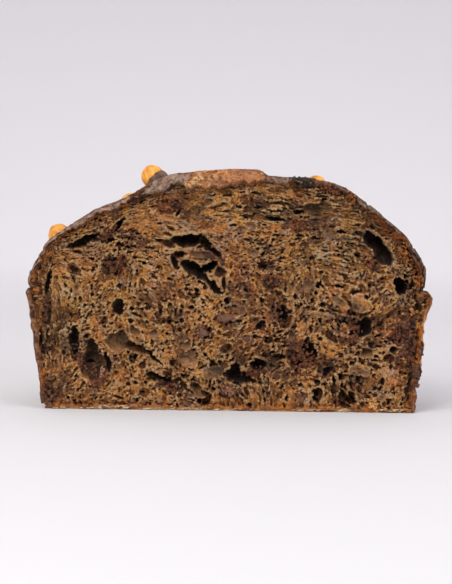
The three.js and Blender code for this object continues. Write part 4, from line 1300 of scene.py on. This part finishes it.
# Lumps on the cut: melted chocolate, burnt crumbs, and crumbs that came loose.
lumps = {
    "scale": 0.85,  # of all the lumps' radii
    "brighter": (1.65, 1.6, 1.35),  # makes up for the shade between the lumps: red, green, blue
    # x, z, spread along, spread across, turn, how many, least and most radius, two colours, gloss
    "clusters": [
        (37.8, 120.0, 5.0, 2.5, -10, 170, 0.4, 1.2, "1f1a18", "4a3f38", 0.3),
        (51.5, 116.6, 7.5, 2.0, -23, 52, 0.7, 1.5, "87523c", "4c2c20", 0.3),
        (62.5, 112.4, 2.6, 1.5, -40, 20, 0.7, 1.2, "a9642f", "6e3f22", 0.1),
        (29.0, 118.6, 2.0, 0.9, 0, 8, 0.8, 1.3, "a9744a", "80502c", 0.1),
        (-46.5, 112.8, 5.5, 2.4, 30, 30, 0.6, 1.3, "6a4028", "3a2214", 0.3),
        (-34.0, 108.0, 9.0, 4.6, 12, 62, 0.5, 1.2, "84502f", "4a2c1a", 0.3),
        (-52.0, 91.5, 9.0, 3.0, -22, 47, 0.6, 1.3, "704830", "40291c", 0.3),
        (-63.0, 91.5, 4.5, 2.6, 50, 30, 0.6, 1.3, "6a4028", "3f2518", 0.35),
        (-60.0, 75.5, 6.5, 3.6, 10, 39, 0.6, 1.3, "744024", "3a2012", 0.4),
        (36.5, 97.5, 5.0, 2.8, 0, 39, 0.5, 1.1, "8c5636", "54301c", 0.35),
        (21.0, 69.5, 7.0, 3.6, -30, 39, 0.6, 1.3, "84502f", "46291a", 0.3),
        (6.0, 77.0, 8.0, 2.6, -32, 30, 0.6, 1.2, "8a5434", "4e2e1c", 0.3),
        (73.5, 77.5, 2.4, 5.0, 35, 27, 0.6, 1.2, "8c5636", "4c2c1a", 0.3),
        (91.5, 36.5, 5.5, 13.0, 0, 108, 0.7, 1.7, "6a4230", "362016", 0.35),
        (98.2, 20.0, 1.2, 5.0, 0, 44, 0.7, 1.7, "6e4836", "3c281e", 0.3),
        (100.2, 33.5, 0.8, 2.6, 0, 20, 0.6, 1.3, "6e4836", "3c281e", 0.3),
        (-67.0, 16.0, 5.0, 3.8, 0, 61, 0.4, 1.2, "7c4c38", "46281e", 0.6),
        (-80.0, 28.0, 2.0, 5.0, 0, 20, 0.6, 1.2, "5a3522", "352014", 0.4),
        (-76.0, 23.5, 1.6, 6.0, 10, 23, 0.4, 1.0, "70452f", "442418", 0.5),
        (-65.2, 19.0, 1.2, 2.6, -15, 13, 0.5, 1.1, "a48474", "7c5c4e", 0.8),
        (-31.0, 11.0, 8.0, 2.2, -20, 42, 0.6, 1.4, "70452f", "3c2216", 0.5),
        (0.5, 10.5, 6.5, 2.4, 0, 42, 0.7, 1.6, "987060", "5c4036", 0.8),
        (13.0, 20.0, 5.5, 2.6, 0, 37, 0.6, 1.3, "744024", "3a2012", 0.4),
        (40.0, 27.5, 5.0, 7.5, 15, 78, 0.7, 1.6, "744426", "3c2214", 0.4),
        (66.5, 41.0, 5.5, 4.0, 20, 34, 0.6, 1.3, "80502f", "44291a", 0.3),
        (26.5, 50.0, 3.6, 7.0, 0, 30, 0.6, 1.3, "643c24", "342014", 0.35),
        (-93.0, 6.0, 3.2, 5.0, 0, 37, 0.7, 1.4, "705040", "4b3428", 0.1),
        (-95.5, 50.0, 1.6, 8.0, 0, 30, 0.6, 1.2, "68402a", "3c2418", 0.3),
        (76.5, 4.5, 2.2, 4.0, 20, 23, 0.8, 1.6, "cf9f6a", "a87444", 0.0),
        (97.0, 52.5, 1.8, 1.6, 0, 13, 0.7, 1.3, "b57e4e", "8a5a34", 0.0),
        (55.5, 1.9, 3.0, 0.9, 0, 15, 0.6, 1.1, "bf8a55", "946238", 0.0),
        (-56.0, 3.4, 12.0, 1.0, 0, 30, 0.5, 1.1, "744426", "442616", 0.5),
        (-14.0, 40.0, 6.0, 4.0, 0, 37, 0.5, 1.0, "74453a", "4a2a20", 0.3),
        (12.0, 37.0, 6.0, 4.5, 0, 40, 0.5, 1.0, "6b3d2c", "40231a", 0.3),
    ],
    # thin pale flakes of skin: x from, x to, height, how many, least and most length, steepness
    "flakes": [
        (-90, -5, 0.7, 46, 1.5, 4.5, 6), (-71, -52, 1.3, 26, 1.5, 4.0, 12),
        (-30, -27, 1.4, 6, 1.0, 2.2, 20), (-14, -11, 1.2, 5, 1.0, 2.0, 20),
        (4, 13, 0.9, 9, 1.0, 2.5, 10), (34, 49, 0.8, 14, 1.2, 3.4, 8),
        (60, 66, 3.0, 4, 1.6, 3.4, 25), (80, 95, 1.2, 14, 2.0, 4.5, 14),
    ],
}


def makeLumps(places):
    # each lump is a small ball, dented and stretched by chance,
    # half sunk where a line into the loaf meets the crumb
    chance = np.random.default_rng(601)
    tilt, around, faces = ball(6, 9)
    points, tints, glosses = [], [], []
    above = 0.0  # only the first cluster, the burnt one, stands on top of the dome
    for x, z, along, across, turn, count, least, most, first, second, gloss in lumps["clusters"]:
        reach = np.clip(chance.normal(size=(count, 2)), -1.7, 1.7) * 0.62 * np.array([along, across])
        angle = math.radians(turn)
        middle = np.array([x, z]) + reach @ np.array([[math.cos(angle), math.sin(angle)],
                                                      [-math.sin(angle), math.cos(angle)]])
        gap = (middle[:, :1] - places[None, :, 0]) ** 2 + (middle[:, 1:] - places[None, :, 2]) ** 2
        depth = np.minimum(places[np.argmin(gap, 1), 1], leanBack(middle[:, 0], middle[:, 1]) + 4.5)
        size = lumps["scale"] * (least + (most - least) * chance.random(count) ** 2)
        ceiling = np.interp(middle[:, 0], wholeOutline[:, 0], wholeOutline[:, 1])
        outside = (np.abs(middle[:, 0]) > 95) | (ceiling - middle[:, 1] < 6)
        depth = depth - 1.4 * outside
        middle[:, 1] = np.where(ceiling > 80, np.minimum(middle[:, 1], ceiling + above), middle[:, 1])
        above = -0.9
        lump = onBall(tilt, around) * chance.uniform(0.6, 1.24, (count, len(tilt), 1))
        lump = lump * chance.uniform(0.7, 1.3, (count, 1, 3)) * size[:, None, None]
        centre = np.stack([middle[:, 0], depth - 0.1 * size, np.maximum(middle[:, 1], 0.9 * size)], 1)
        points.append((centre[:, None] + lump).reshape(-1, 3))
        share = chance.random((count, 1)) * 0.6 + chance.random((count, len(tilt))) * 0.4
        first, second = (shade(code) * np.array(lumps["brighter"]) for code in (first, second))
        tints.append(blend(first, second, share).reshape(-1, 3))
        glosses.append(np.full(count * len(tilt), gloss))
    for left, right, z, count, least, most, steep in lumps["flakes"]:
        flake = onBall(tilt, around) * chance.uniform(0.75, 1.2, (count, len(tilt), 1))
        flake = flake * (np.array([0.5, 0.3, 0.1]) * chance.uniform(least, most, (count, 1)))[:, None]
        slope = np.radians(chance.uniform(-steep, steep, (count, 1)))
        lifted = flake[..., 0] * np.sin(slope) + flake[..., 2] * np.cos(slope) + 0.08 * flake[..., 0] ** 2
        flake[..., 2] = np.maximum(lifted, -0.9)
        centre = np.stack([chance.uniform(left, right, count), chance.uniform(-0.9, 0.3, count),
                           z * chance.uniform(0.5, 1.5, count)], 1)
        points.append((centre[:, None] + flake).reshape(-1, 3))
        share = chance.random((count, 1)) * np.ones(len(tilt))
        tints.append(blend("f3e0bb", "c78f50", share ** 1.5).reshape(-1, 3))
        glosses.append(np.zeros(count * len(tilt)))
    points = np.concatenate(points)
    points[:, 2] = np.maximum(points[:, 2], 0.05)
    faces = copies(faces, len(tilt), len(points) // len(tilt))
    gloss = np.concatenate(glosses)
    values = {"gloss": gloss, "smoothness": 0 * gloss}
    makePiece("chocolate_and_crumb_lumps", points, faces, crumbPaint, values, np.concatenate(tints))


# Glaze that ran over one side of a nut.
nutGlaze = {
    "nut": 3,
    "offset": (2.5, -0.9, -2.0),  # from the nut's middle
    "radius": 6.1,
    "stretch": (1.05, 1, 0.98),
    "rings": 28,
    "segments": 40,
}


def makeSmear():
    # a dented ball, a little to the side of the nut
    tilt, around, faces = ball(nutGlaze["rings"], nutGlaze["segments"])
    smear = onBall(tilt, around)
    smear = smear * (1 + 0.05 * noise(tuple(smear.T), 0.5, 4, 611))[:, None]
    middle = nutCentres[nutGlaze["nut"] - 1] + np.array(nutGlaze["offset"])
    points = middle + nutGlaze["radius"] * smear * np.array(nutGlaze["stretch"])
    fleck = noise(tuple(points.T), 3, 3, 621)
    tint = blend("7f6658", "57423a", smooth(fleck, -0.7, 0.7))
    values = {"gloss": 0 * fleck, "raw": 0.4 + 0 * fleck}
    makePiece("glaze_on_nut", points, faces, paintCrust("glaze on nut"), values, tint)


makeLumps(crumbPlaces)
makeSmear()


# A pale floor that curves up all round into a pale wall, soft lamps, and the camera.
studio = {
    "radius": 2.6,
    "bend": 1.0,
    "height": 2.2,
    "floor": "e2e1e3",
    "distance": 0.9,  # from the camera to the cut face
    "elevation": 4.0,
    "aimX": -2.3,
    "aimZ": 62.0,
    "view": 302.8,  # how much height the camera sees at the cut face, in millimetres
    "roll": -0.75,
    "air": "f6f2f6",
    "airStrength": 0.95,
    # name, place, aim, size, watts, spread in degrees, colour
    "lamps": [
        ("key lamp", (-0.6, -1.15, 1.0), (0, 0, 0.06), (0.95, 0.95), 13.5, 180, "fdfcf4"),
        ("fill lamp", (1.3, -1.2, 0.7), (0, 0, 0.06), (1.2, 1.0), 9.7, 180, "f0f5ff"),
        ("backdrop lamp", (0, 1.3, 1.6), (0, 1.6, 0.0), (1.2, 0.5), 1.9, 80, "fffaf8"),
    ],
}


def makeStudio():
    # the floor is a disc whose rim bends up along a quarter circle into an upright wall
    turn = np.linspace(0, 2 * math.pi, 97)[:-1]
    quarter = np.linspace(0, math.pi / 2, 13)
    inner = studio["radius"] - studio["bend"]
    out = np.concatenate([[0.05, 0.3, 0.8], inner + studio["bend"] * np.sin(quarter), [studio["radius"]]])
    up = np.concatenate([[0, 0, 0], studio["bend"] * (1 - np.cos(quarter)), [studio["height"]]])
    ring = np.stack([out[:, None] * np.cos(turn), out[:, None] * np.sin(turn), up[:, None] + 0 * turn], -1)
    number = np.arange(ring.shape[0] * 96).reshape(-1, 96)
    after = np.roll(number, -1, 1)
    quads = np.stack([number[:-1], number[1:], after[1:], after[:-1]], -1).reshape(-1, 4)
    middle = number[0][None]
    paint = Paint("studio paper")
    speck = paint.noise(0.4 * mm, 2)
    paper = paint.finish({
        "Base Color": colour(studio["floor"]),
        "Roughness": 0.9,
        "Normal": paint.bump(speck, 0.02 * mm, 0.2),
    })
    mesh = bpy.data.meshes.new("floor")
    mesh.from_pydata(ring.reshape(-1, 3).tolist(), [], quads.tolist() + middle.tolist())
    mesh.shade_smooth()
    mesh.materials.append(paper)
    floor = bpy.data.objects.new("floor", mesh)
    bpy.context.scene.collection.objects.link(floor)


def areaLamp(name, place, aim, size, power, spread, tint):
    lamp = bpy.data.lights.new(name, "AREA")
    lamp.shape = "RECTANGLE"
    lamp.size, lamp.size_y = size
    lamp.energy = power
    lamp.spread = math.radians(spread)
    lamp.color = colour(tint)[:3]
    holder = bpy.data.objects.new(name, lamp)
    holder.location = place
    holder.rotation_euler = (Vector(aim) - holder.location).to_track_quat("-Z", "Y").to_euler()
    bpy.context.scene.collection.objects.link(holder)


def makeLight():
    for lamp in studio["lamps"]:
        areaLamp(*lamp)
    world = bpy.data.worlds.new("studio air")
    world.use_nodes = True
    air = world.node_tree.nodes["Background"]
    air.inputs["Color"].default_value = colour(studio["air"])
    air.inputs["Strength"].default_value = studio["airStrength"]
    bpy.context.scene.world = world
    bpy.context.scene.view_settings.view_transform = "Standard"


def makeCamera():
    lens = bpy.data.cameras.new("camera")
    lens.sensor_width = 36
    lens.lens = 36 * studio["distance"] / (studio["view"] * mm)
    holder = bpy.data.objects.new("camera", lens)
    rise = math.radians(studio["elevation"])
    aim = (centreX + studio["aimX"] * mm, cutY, studio["aimZ"] * mm)
    back, up = studio["distance"] * math.cos(rise), studio["distance"] * math.sin(rise)
    holder.location = (aim[0], aim[1] - back, aim[2] + up)
    holder.rotation_euler = (math.pi / 2 - rise, math.radians(studio["roll"]), 0)
    bpy.context.scene.collection.objects.link(holder)
    bpy.context.scene.camera = holder


makeStudio()
makeLight()
makeCamera()
print("studio ready")
